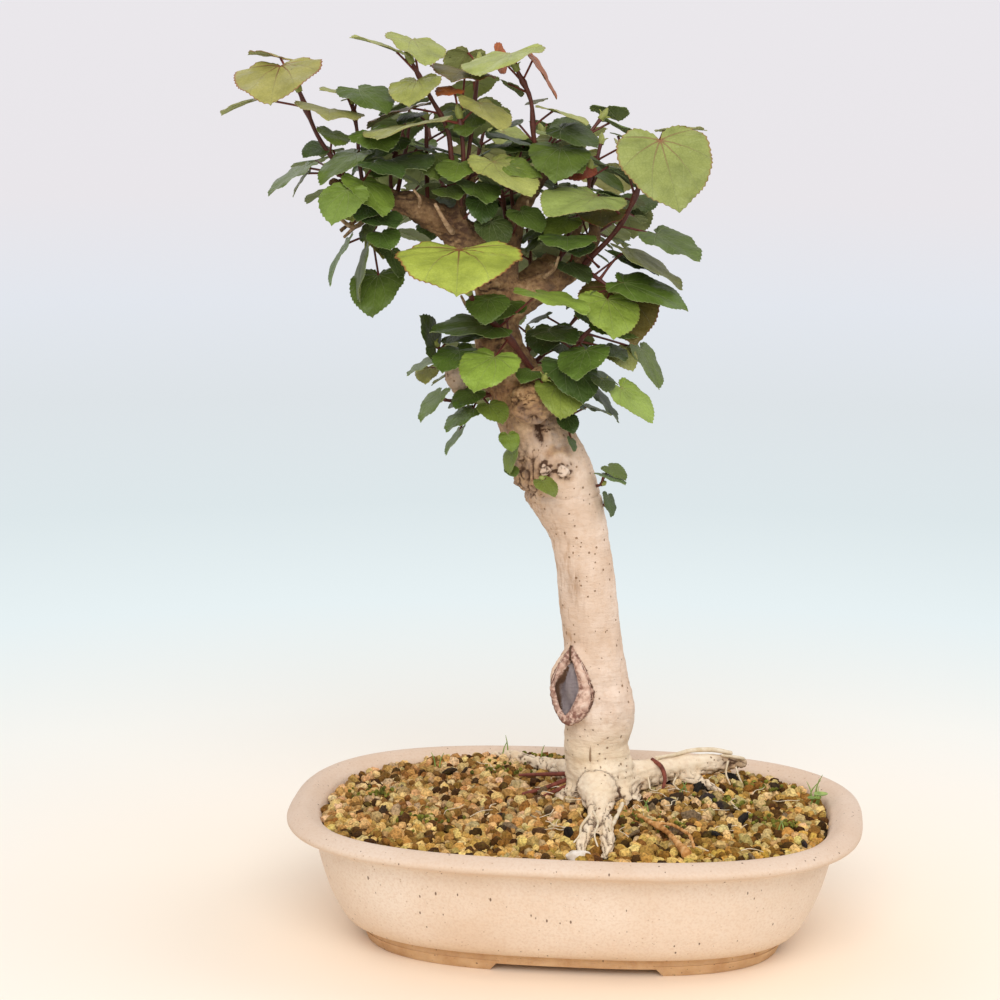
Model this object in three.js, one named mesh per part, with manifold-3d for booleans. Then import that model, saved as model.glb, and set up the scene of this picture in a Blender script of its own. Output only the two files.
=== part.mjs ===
// Sea hibiscus bonsai grown in an oblong stoneware pot. Millimetres, +Z up, +X to the right, +Y to the back.
// All positions are measured from the middle of the pot at table height; the finished group is then moved
// so that the middle of its bounding box stands on the origin.
import * as THREE from "three";
import Module from "manifold-3d";

const wasm = await Module();
wasm.setup();

// Shared measures.
const DEG = Math.PI / 180;
const GAP = 0.3; // air kept between neighbouring pieces
const UP = new THREE.Vector3(0, 0, 1);

// Mulberry32: the same seed always gives the same draws.
function randomFrom(seed) {
  let state = seed;
  return () => {
    state = (state + 0x6d2b79f5) | 0;
    let t = Math.imul(state ^ (state >>> 15), 1 | state);
    t = (t + Math.imul(t ^ (t >>> 7), 61 | t)) ^ t;
    return ((t ^ (t >>> 14)) >>> 0) / 4294967296;
  };
}

function solidOf(points, triangles) {
  return new wasm.Manifold(
    new wasm.Mesh({
      numProp: 3,
      vertProperties: new Float32Array(points.flat()),
      triVerts: new Uint32Array(triangles.flat()),
    }),
  );
}

function joined(solids) {
  return solids.reduce((whole, next) => whole.add(next));
}

// A body skinned over closed rings of equal count, with a flat fan on its first and last ring.
function skinned(rings) {
  const count = rings[0].length;
  const triangles = [];
  for (let r = 0; r < rings.length - 1; r += 1) {
    for (let i = 0; i < count; i += 1) {
      const j = (i + 1) % count;
      const low = r * count;
      const high = low + count;
      triangles.push([low + i, low + j, high + j], [low + i, high + j, high + i]);
    }
  }
  const last = (rings.length - 1) * count;
  for (let i = 1; i < count - 1; i += 1) {
    triangles.push([0, i + 1, i], [last, last + i, last + i + 1]);
  }
  return solidOf(rings.flat(), triangles);
}

// A rod of any number of sides along a path. The section is carried along without twisting.
function rod(path, radii, sides, ripple = 0) {
  const rings = [];
  let side = null;
  path.forEach((point, k) => {
    const before = path[Math.max(k - 1, 0)];
    const after = path[Math.min(k + 1, path.length - 1)];
    const along = after.clone().sub(before).normalize();
    if (side === null) {
      side = Math.abs(along.z) < 0.9 ? UP.clone() : new THREE.Vector3(1, 0, 0);
    }
    side = side.clone().addScaledVector(along, -side.dot(along)).normalize();
    const other = along.clone().cross(side);
    const ring = [];
    for (let i = 0; i < sides; i += 1) {
      const turn = (2 * Math.PI * i) / sides;
      const swell = 1 + ripple * (Math.sin(3 * turn + 1.7 * k) + 0.6 * Math.sin(2 * turn - 0.9 * k));
      const reach = radii[k] * swell;
      const at = point
        .clone()
        .addScaledVector(side, reach * Math.cos(turn))
        .addScaledVector(other, reach * Math.sin(turn));
      ring.push(at.toArray());
    }
    rings.push(ring);
  });
  return skinned(rings);
}

// Pot.
const POT = {
  halfLength: 180,
  halfDepth: 137,
  height: 84,
  squareness: 2.8, // exponent of the rounded oblong plan
  sides: 32,
  colour: 0xecd0b4,
  floor: 12,
  underside: 5,
  holeRadius: 11,
  holeOffset: 72,
};
// Outer wall, rolled rim and inner wall, read from the underside to the floor: inset from the rim, height.
const POT_PROFILE = [
  [54, 5],
  [47.5, 5],
  [46.5, 12],
  [40, 13],
  [34, 19],
  [26, 35],
  [19.5, 56],
  [17.5, 68],
  [9, 73],
  [1.5, 75.5],
  [0.3, 80],
  [8.5, 84],
  [16, 81.5],
  [21.5, 74],
  [28, 38],
  [36, 19],
  [48, 12],
];
const FOOT = {
  outer: 47.5,
  bottomOuter: 49,
  inner: 60,
  frontGap: 50,
  endGap: 30,
  slant: 3,
  height: 6,
  sides: 24,
};

function planRing(inset, z, sides = POT.sides) {
  const a = POT.halfLength - inset;
  const b = POT.halfDepth - inset;
  const ring = [];
  for (let i = 0; i < sides; i += 1) {
    const turn = (2 * Math.PI * (i + 0.5)) / sides;
    const c = Math.cos(turn);
    const s = Math.sin(turn);
    ring.push([
      a * Math.sign(c) * Math.abs(c) ** (2 / POT.squareness),
      b * Math.sign(s) * Math.abs(s) ** (2 / POT.squareness),
      z,
    ]);
  }
  return ring;
}

// A block with slanting ends, wider at the bottom, used to open the foot band.
function footGap(halfX, halfY, slantX, slantY) {
  const corners = (dx, dy, z) => [
    [-dx, -dy, z],
    [dx, -dy, z],
    [dx, dy, z],
    [-dx, dy, z],
  ];
  return skinned([
    corners(halfX + slantX, halfY + slantY, -1),
    corners(halfX - slantX, halfY - slantY, POT.underside),
  ]);
}

function uprightRod(x, y, low, high, radius, sides) {
  const path = [new THREE.Vector3(x, y, low), new THREE.Vector3(x, y, high)];
  return rod(path, [radius, radius], sides);
}

function makePot() {
  const bowl = skinned(POT_PROFILE.map(([inset, z]) => planRing(inset, z)));
  const band = skinned([
    planRing(FOOT.bottomOuter, 0, FOOT.sides),
    planRing(FOOT.outer, FOOT.height, FOOT.sides),
  ]);
  const hollow = skinned([
    planRing(FOOT.inner, -1, FOOT.sides),
    planRing(FOOT.inner, FOOT.height + 1, FOOT.sides),
  ]);
  const feet = band
    .subtract(hollow)
    .subtract(footGap(FOOT.frontGap, POT.halfDepth, FOOT.slant, 0))
    .subtract(footGap(POT.halfLength, FOOT.endGap, 0, FOOT.slant));
  const holes = [-1, 1].map((end) =>
    uprightRod(end * POT.holeOffset, 0, -1, POT.floor + 1, POT.holeRadius, 16),
  );
  return bowl.add(feet).subtract(joined(holes));
}

// Drain screens.
const SCREEN = { half: 19, thickness: 1, mesh: 2, bar: 3, colour: 0x2b2d2a };

function box(x0, y0, z0, x1, y1, z1) {
  const corners = (z) => [
    [x0, y0, z],
    [x1, y0, z],
    [x1, y1, z],
    [x0, y1, z],
  ];
  return skinned([corners(z0), corners(z1)]);
}

function makeScreen(end) {
  const middle = end * POT.holeOffset;
  const low = POT.floor + GAP;
  const high = low + SCREEN.thickness;
  const sheet = box(middle - SCREEN.half, -SCREEN.half, low, middle + SCREEN.half, SCREEN.half, high);
  const pitch = (2 * SCREEN.half - SCREEN.bar) / SCREEN.mesh;
  const openings = [];
  for (let i = 0; i < SCREEN.mesh; i += 1) {
    for (let j = 0; j < SCREEN.mesh; j += 1) {
      const x = middle - SCREEN.half + SCREEN.bar + i * pitch;
      const y = -SCREEN.half + SCREEN.bar + j * pitch;
      const clear = pitch - SCREEN.bar;
      openings.push(box(x, y, low - 1, x + clear, y + clear, high + 1));
    }
  }
  return sheet.subtract(joined(openings));
}

// Trunk, boughs and roots.
// Each limb: points x, y, z and radius, from its thick end to its thin end.
const TREE = { colour: 0xdcc0a2, ripple: 0.025, tolerance: 0.3 };
const LIMBS = {
  trunk: {
    sides: 10,
    line: [
      [17, 15, 52, 24],
      [16, 16, 78, 26],
      [14, 15, 98, 23],
      [11, 14, 118, 20.8],
      [13, 13, 134, 21.5],
      [12, 12, 150, 21],
      [9, 10, 180, 18.8],
      [6, 8, 205, 18.3],
      [2, 5, 238, 18],
      [-2, 3, 260, 18.4],
      [-7, 1, 273, 21],
      [-14, -1, 288, 23.5],
      [-20, -3, 301, 23.5],
      [-27, -5, 318, 21.5],
      [-34, -5, 335, 21],
      [-43, -6, 353, 18.2],
      [-51, -5, 371, 15.5],
      [-54, -5, 386, 14.3],
      [-53, -5, 402, 14.5],
      [-57, -7, 420, 13.8],
      [-66, -9, 433, 13],
      [-78, -14, 444, 11.5],
      [-95, -19, 455, 9.6],
      [-114, -23, 463, 7.8],
      [-134, -23, 462, 5.8],
      [-145, -22, 471, 4],
      [-154, -23, 473, 2.4],
    ],
  },
  scar_swelling: {
    sides: 6,
    line: [[5, 4, 134, 7], [0, 0, 148, 11.5], [-2, -1, 163, 13], [0, 0, 177, 11], [4, 3, 190, 7]],
  },
  burl: { sides: 6, line: [[-22, 0, 290, 16], [-34, -9, 296, 12], [-39, -12, 298, 7]] },
  burl_low: { sides: 6, line: [[-12, 0, 276, 14], [-24, -5, 282, 9], [-28, -7, 283, 5]] },
  knot_left: { sides: 6, line: [[-20, -14, 299, 9], [-22, -26, 300, 6.5], [-22, -29, 300, 4.5]] },
  knot_right: { sides: 6, line: [[-12, -12, 299, 9], [-11, -25, 300, 6.5], [-11, -28, 300, 5]] },
  knob: { sides: 6, line: [[-34, -6, 334, 16], [-31, -26, 340, 13.5], [-29, -35, 342, 9]] },
  stub_left: { sides: 6, line: [[-50, -7, 356, 13], [-70, -15, 357, 9.5], [-79, -19, 357, 8.5]] },
  spur_front: { sides: 6, line: [[-38, -9, 346, 11], [-26, -18, 356, 7], [-15, -20, 364, 4]] },
  bough_right: {
    sides: 6,
    line: [
      [-53, -5, 394, 12],
      [-38, -5, 403, 10.5],
      [-23, -4, 411, 8.6],
      [-6, -1, 422, 6.6],
      [3, 2, 435, 5.2],
      [5, 4, 447, 4],
    ],
  },
  bough_up_right: {
    sides: 5,
    line: [[-51, -1, 408, 10], [-46, 3, 434, 6.8], [-43, 4, 451, 5.6], [-32, 2, 470, 4.8], [-23, 2, 489, 4]],
  },
  bough_upright: {
    sides: 5,
    line: [[-70, -11, 436, 7], [-75, -18, 455, 5], [-74, -19, 470, 4.3], [-66, -20, 480, 3]],
  },
  bough_back_left: {
    sides: 5,
    line: [[-54, 0, 404, 11], [-64, 22, 420, 8], [-80, 42, 436, 6], [-92, 58, 456, 3.6]],
  },
  bough_back_right: {
    sides: 5,
    line: [[-50, 0, 398, 10], [-36, 24, 412, 7.5], [-18, 42, 428, 5.6], [-6, 52, 448, 3.4]],
  },
  twig_left: { sides: 4, line: [[-126, -23, 460, 4], [-136, -26, 452, 2.6], [-147, -29, 444, 2]] },
  root_front: {
    sides: 7,
    line: [
      [14, 2, 98, 15],
      [16, -14, 90, 12.5],
      [17, -32, 84, 9.5],
      [16, -50, 81, 8],
      [19, -66, 78, 6.5],
      [22, -82, 74, 4.5],
    ],
  },
  root_right: {
    sides: 6,
    line: [
      [26, 18, 92, 14],
      [42, 24, 91, 10.5],
      [58, 36, 89, 8.5],
      [78, 46, 88, 7],
      [97, 54, 86, 5],
      [106, 58, 83, 3],
    ],
  },
  root_back: { sides: 6, line: [[8, 26, 90, 13], [-12, 46, 86, 8], [-34, 62, 83, 5.5], [-52, 72, 79, 3.5]] },
  root_left: { sides: 6, line: [[4, 10, 86, 14], [-14, 4, 82, 8], [-30, -4, 77, 4.5]] },
  root_front_right: { sides: 6, line: [[24, 4, 88, 14], [40, -4, 83, 8], [54, -12, 76, 4.5]] },
};
const SCAR = { x: -4, z: 163, halfHeight: 25, halfWidth: 11, front: -12.5, hollow: 0.03, lip: 3, sides: 12 };

function limb({ line, sides }, extra) {
  const points = line.map(([x, y, z]) => new THREE.Vector3(x, y, z));
  const radii = line.map(([, , , radius]) => radius + extra);
  const count = points.length;
  const first = points[0].clone().sub(points[1]).normalize();
  const last = points[count - 1].clone().sub(points[count - 2]).normalize();
  const path = [
    points[0].clone().addScaledVector(first, 0.4 * radii[0]),
    ...points,
    points[count - 1].clone().addScaledVector(last, 0.45 * radii[count - 1]),
  ];
  return rod(path, [0.6 * radii[0], ...radii, 0.55 * radii[count - 1]], sides, TREE.ripple);
}

// The healed wound: an almond of callus standing proud of the trunk, hollow in the middle.
function scarLips(extra) {
  const across = 5;
  const points = [];
  for (let i = 0; i < SCAR.sides; i += 1) {
    const turn = (2 * Math.PI * i) / SCAR.sides;
    const pinch = Math.sign(Math.cos(turn)) * Math.abs(Math.cos(turn)) ** 1.5;
    const x = SCAR.x + SCAR.halfWidth * pinch;
    const z = SCAR.z + SCAR.halfHeight * Math.sin(turn);
    const y = SCAR.front + SCAR.hollow * ((x - SCAR.x) ** 2 + 0.3 * (z - SCAR.z) ** 2);
    for (let j = 0; j < across; j += 1) {
      const roll = (2 * Math.PI * j) / across;
      const reach = SCAR.lip + extra;
      const out = Math.cos(roll) * reach;
      points.push([x + out * Math.cos(turn), y + Math.sin(roll) * reach, z + out * Math.sin(turn) * 0.8]);
    }
  }
  const triangles = [];
  for (let i = 0; i < SCAR.sides; i += 1) {
    for (let j = 0; j < across; j += 1) {
      const a = i * across + j;
      const b = i * across + ((j + 1) % across);
      const c = ((i + 1) % SCAR.sides) * across + j;
      const d = ((i + 1) % SCAR.sides) * across + ((j + 1) % across);
      triangles.push([a, b, d], [a, d, c]);
    }
  }
  return solidOf(points, triangles);
}

function makeTree(extra = 0) {
  const limbs = Object.values(LIMBS).map((piece) => limb(piece, extra));
  return joined([...limbs, scarLips(extra)]).simplify(TREE.tolerance);
}

// Soil, dead root and pebble.
const SOIL = {
  colour: 0xa5804c,
  edge: 76, // height along the inner wall
  mound: 10, // extra height at the trunk
  spread: 75,
  grain: 3.6,
  rings: 6,
  bottom: 13.6,
  tolerance: 0.15,
};
const DEAD_ROOT = {
  colour: 0xb0713f,
  sides: 6,
  line: [
    [40, -32, 80, 1.8],
    [50, -48, 79.5, 2.4],
    [62, -62, 78.5, 2.6],
    [70, -76, 77.5, 3.2],
    [75, -90, 77, 3.4],
  ],
};
const PEBBLE = { colour: 0xd8cdbb, at: [10, -99, 75.5], size: [7, 5, 4] };

function potInset(z) {
  const inner = POT_PROFILE.slice(POT_PROFILE.findIndex(([, z]) => z === POT.height));
  for (let k = 0; k < inner.length - 1; k += 1) {
    const [high, low] = [inner[k], inner[k + 1]];
    if (z <= high[1] && z >= low[1]) {
      return high[0] + ((low[0] - high[0]) * (high[1] - z)) / (high[1] - low[1]);
    }
  }
  return inner[inner.length - 1][0];
}

function soilHeight(x, y) {
  const reach = Math.hypot(x - 14, 1.3 * (y - 12)) / SOIL.spread;
  return SOIL.edge + SOIL.mound * Math.exp(-reach * reach);
}

function makeSoil() {
  const draw = randomFrom(11);
  const clear = (z) => potInset(z) + 2 * GAP;
  const walls = [SOIL.bottom, 19, 38, 74].map((z) => planRing(clear(z), z));
  const tops = [];
  for (let k = 0; k < SOIL.rings; k += 1) {
    const share = 1 - k / SOIL.rings;
    const wander = k === 0 ? 0 : 5;
    tops.push(
      planRing(clear(SOIL.edge), 0).map(([x, y]) => {
        const px = share * x + wander * (draw() - 0.5);
        const py = share * y + wander * (draw() - 0.5);
        return [px, py, soilHeight(px, py) + (k === 0 ? 0 : SOIL.grain * (draw() - 0.5))];
      }),
    );
  }
  return skinned([...walls, ...tops]);
}

function makePebble(extra = 0) {
  const draw = randomFrom(5);
  const [x, y, z] = PEBBLE.at;
  const rings = [-0.86, -0.4, 0.25, 0.8].map((level) => {
    const ring = [];
    for (let i = 0; i < 7; i += 1) {
      const turn = (2 * Math.PI * i) / 7;
      const width = Math.sqrt(1 - level * level) * (0.9 + 0.2 * draw());
      ring.push([
        x + (PEBBLE.size[0] + extra) * width * Math.cos(turn),
        y + (PEBBLE.size[1] + extra) * width * Math.sin(turn),
        z + (PEBBLE.size[2] + extra) * level,
      ]);
    }
    return ring;
  });
  return skinned(rings);
}

// Leaves.
// Blade outlines, one half from the stalk notch to the tip, for a leaf of length 1: along, across.
// Every second point is a tooth, so that the margin runs in and out. Ribs are points on the midrib, and
// reach says which rib point each stretch of the margin is joined to.
const BLADES = {
  large: {
    half: [[-0.11, 0.08], [-0.18, 0.32], [0.12, 0.56], [0.4, 0.48], [0.62, 0.36], [0.84, 0.13]],
    ribs: [0.32, 0.66],
    reach: [0, 0, 0, 1, 2, 2, 2],
  },
  medium: {
    half: [[-0.16, 0.24], [0.08, 0.55], [0.46, 0.46], [0.76, 0.2]],
    ribs: [0.42],
    reach: [0, 0, 1, 1, 1],
  },
  small: { half: [[-0.15, 0.24], [0.2, 0.54], [0.66, 0.28]], ribs: [], reach: [0, 0, 0, 0] },
};
const BLADE = { thickness: 0.7, keel: 0.13, sag: 0.16 };
const STALK = { radius: 0.8, halfWidth: 0.75 };

function bladeKind(length) {
  if (length >= 42) {
    return "large";
  }
  return length >= 27 ? "medium" : "small";
}

// The leaf's own axes: along to the tip, across to its left and normal to its upper face.
function leafAxes(turn, droop, roll) {
  const along = new THREE.Vector3(
    Math.cos(turn * DEG) * Math.cos(droop * DEG),
    Math.sin(turn * DEG) * Math.cos(droop * DEG),
    -Math.sin(droop * DEG),
  );
  const level = UP.clone().addScaledVector(along, -along.z).normalize();
  const left = level.clone().cross(along);
  const c = Math.cos(roll * DEG);
  const s = Math.sin(roll * DEG);
  const normal = level.clone().multiplyScalar(c).addScaledVector(left, -s);
  const across = left.clone().multiplyScalar(c).addScaledVector(level, s);
  return { along, across, normal };
}

// A point of the curved blade: a shallow keel along the midrib, and a tip that sags.
function onBlade(leaf, u, v, lift = 0) {
  const rise = leaf.length * (BLADE.keel * Math.abs(v) - BLADE.sag * leaf.curl * Math.max(u, 0) ** 2) + lift;
  return leaf.at
    .clone()
    .addScaledVector(leaf.axes.along, leaf.length * u)
    .addScaledVector(leaf.axes.across, leaf.length * v)
    .addScaledVector(leaf.axes.normal, rise);
}

// A four-sided ring round the stalk, its first corner at the upper left as seen towards the tip.
function stalkRing(point, along, across) {
  const heading = along.clone().addScaledVector(across, -0.8 * along.dot(across)).normalize();
  const side = across.clone().addScaledVector(heading, -across.dot(heading)).normalize();
  const other = heading.clone().cross(side);
  return [45, 135, 225, 315].map((turn) =>
    point
      .clone()
      .addScaledVector(side, STALK.radius * Math.cos(turn * DEG))
      .addScaledVector(other, STALK.radius * Math.sin(turn * DEG))
      .toArray(),
  );
}

// Blade and stalk as one skin: the stalk's last ring is the cut face in the notch of the blade.
function leafSolid(leaf, stalk) {
  const { half, ribs, reach } = BLADES[bladeKind(leaf.length)];
  const edge = half.length;
  const notch = STALK.halfWidth / leaf.length;
  // Flat positions: two sides of the notch, midrib points, tip, left margin, right margin.
  const flat = [
    [0, notch],
    [0, -notch],
    ...ribs.map((u) => [u, 0]),
    [1, 0],
    ...half,
    ...half.map(([u, v]) => [u, -v]),
  ];
  const tip = ribs.length + 2;
  const margin = (side, k) => {
    if (k === 0) {
      return side;
    }
    return k > edge ? tip : tip + side * edge + k;
  };
  const hub = (side, k) => (reach[k] === 0 ? side : reach[k] + 1);
  const face = [[1, 2, 0]];
  [0, 1].forEach((side) => {
    const add = (a, b, c) => face.push(side === 0 ? [a, c, b] : [a, b, c]);
    for (let k = 0; k <= edge; k += 1) {
      if (margin(side, k) !== hub(side, k)) {
        add(margin(side, k), margin(side, k + 1), hub(side, k));
      }
      if (k < edge && reach[k + 1] !== reach[k]) {
        add(margin(side, k + 1), hub(side, k + 1), hub(side, k));
      }
    }
  });
  const count = flat.length;
  const points = [];
  [0.5, -0.5].forEach((level) => {
    flat.forEach(([u, v]) => points.push(onBlade(leaf, u, v, level * BLADE.thickness).toArray()));
  });
  const triangles = face.flatMap(([a, b, c]) => [
    [a, b, c],
    [a + count, c + count, b + count],
  ]);
  const rim = [];
  for (let k = 0; k <= edge + 1; k += 1) {
    rim.push(margin(1, k));
  }
  for (let k = edge; k >= 0; k -= 1) {
    rim.push(margin(0, k));
  }
  rim.slice(1).forEach((b, k) => {
    const a = rim[k];
    triangles.push([a, b + count, b], [a, a + count, b + count]);
  });
  const rings = stalk.slice(0, -1).map((point, k) => {
    const along = stalk[k + 1].clone().sub(point).normalize();
    return stalkRing(point, along, leaf.axes.across).map((corner) => points.push(corner) - 1);
  });
  rings.push([0, 1, 1 + count, count]);
  rings.slice(1).forEach((high, r) => {
    const low = rings[r];
    high.forEach((_, i) => {
      const j = (i + 1) % 4;
      triangles.push([low[i], low[j], high[j]], [low[i], high[j], high[i]]);
    });
  });
  triangles.push([rings[0][0], rings[0][2], rings[0][1]], [rings[0][0], rings[0][3], rings[0][2]]);
  return solidOf(points, triangles);
}

// Leaf colours by age, from the youngest to the oldest.
const AGES = {
  orange: 0xb8622a,
  red: 0x9c4a34,
  bronze: 0x6f6038,
  gold: 0xa8a45a,
  lime: 0xabb64f,
  light: 0x9cab5c,
  green: 0x6f9440,
  olive: 0x6d7440,
  mid: 0x5f7c34,
  dark: 0x3f5228,
};

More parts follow.
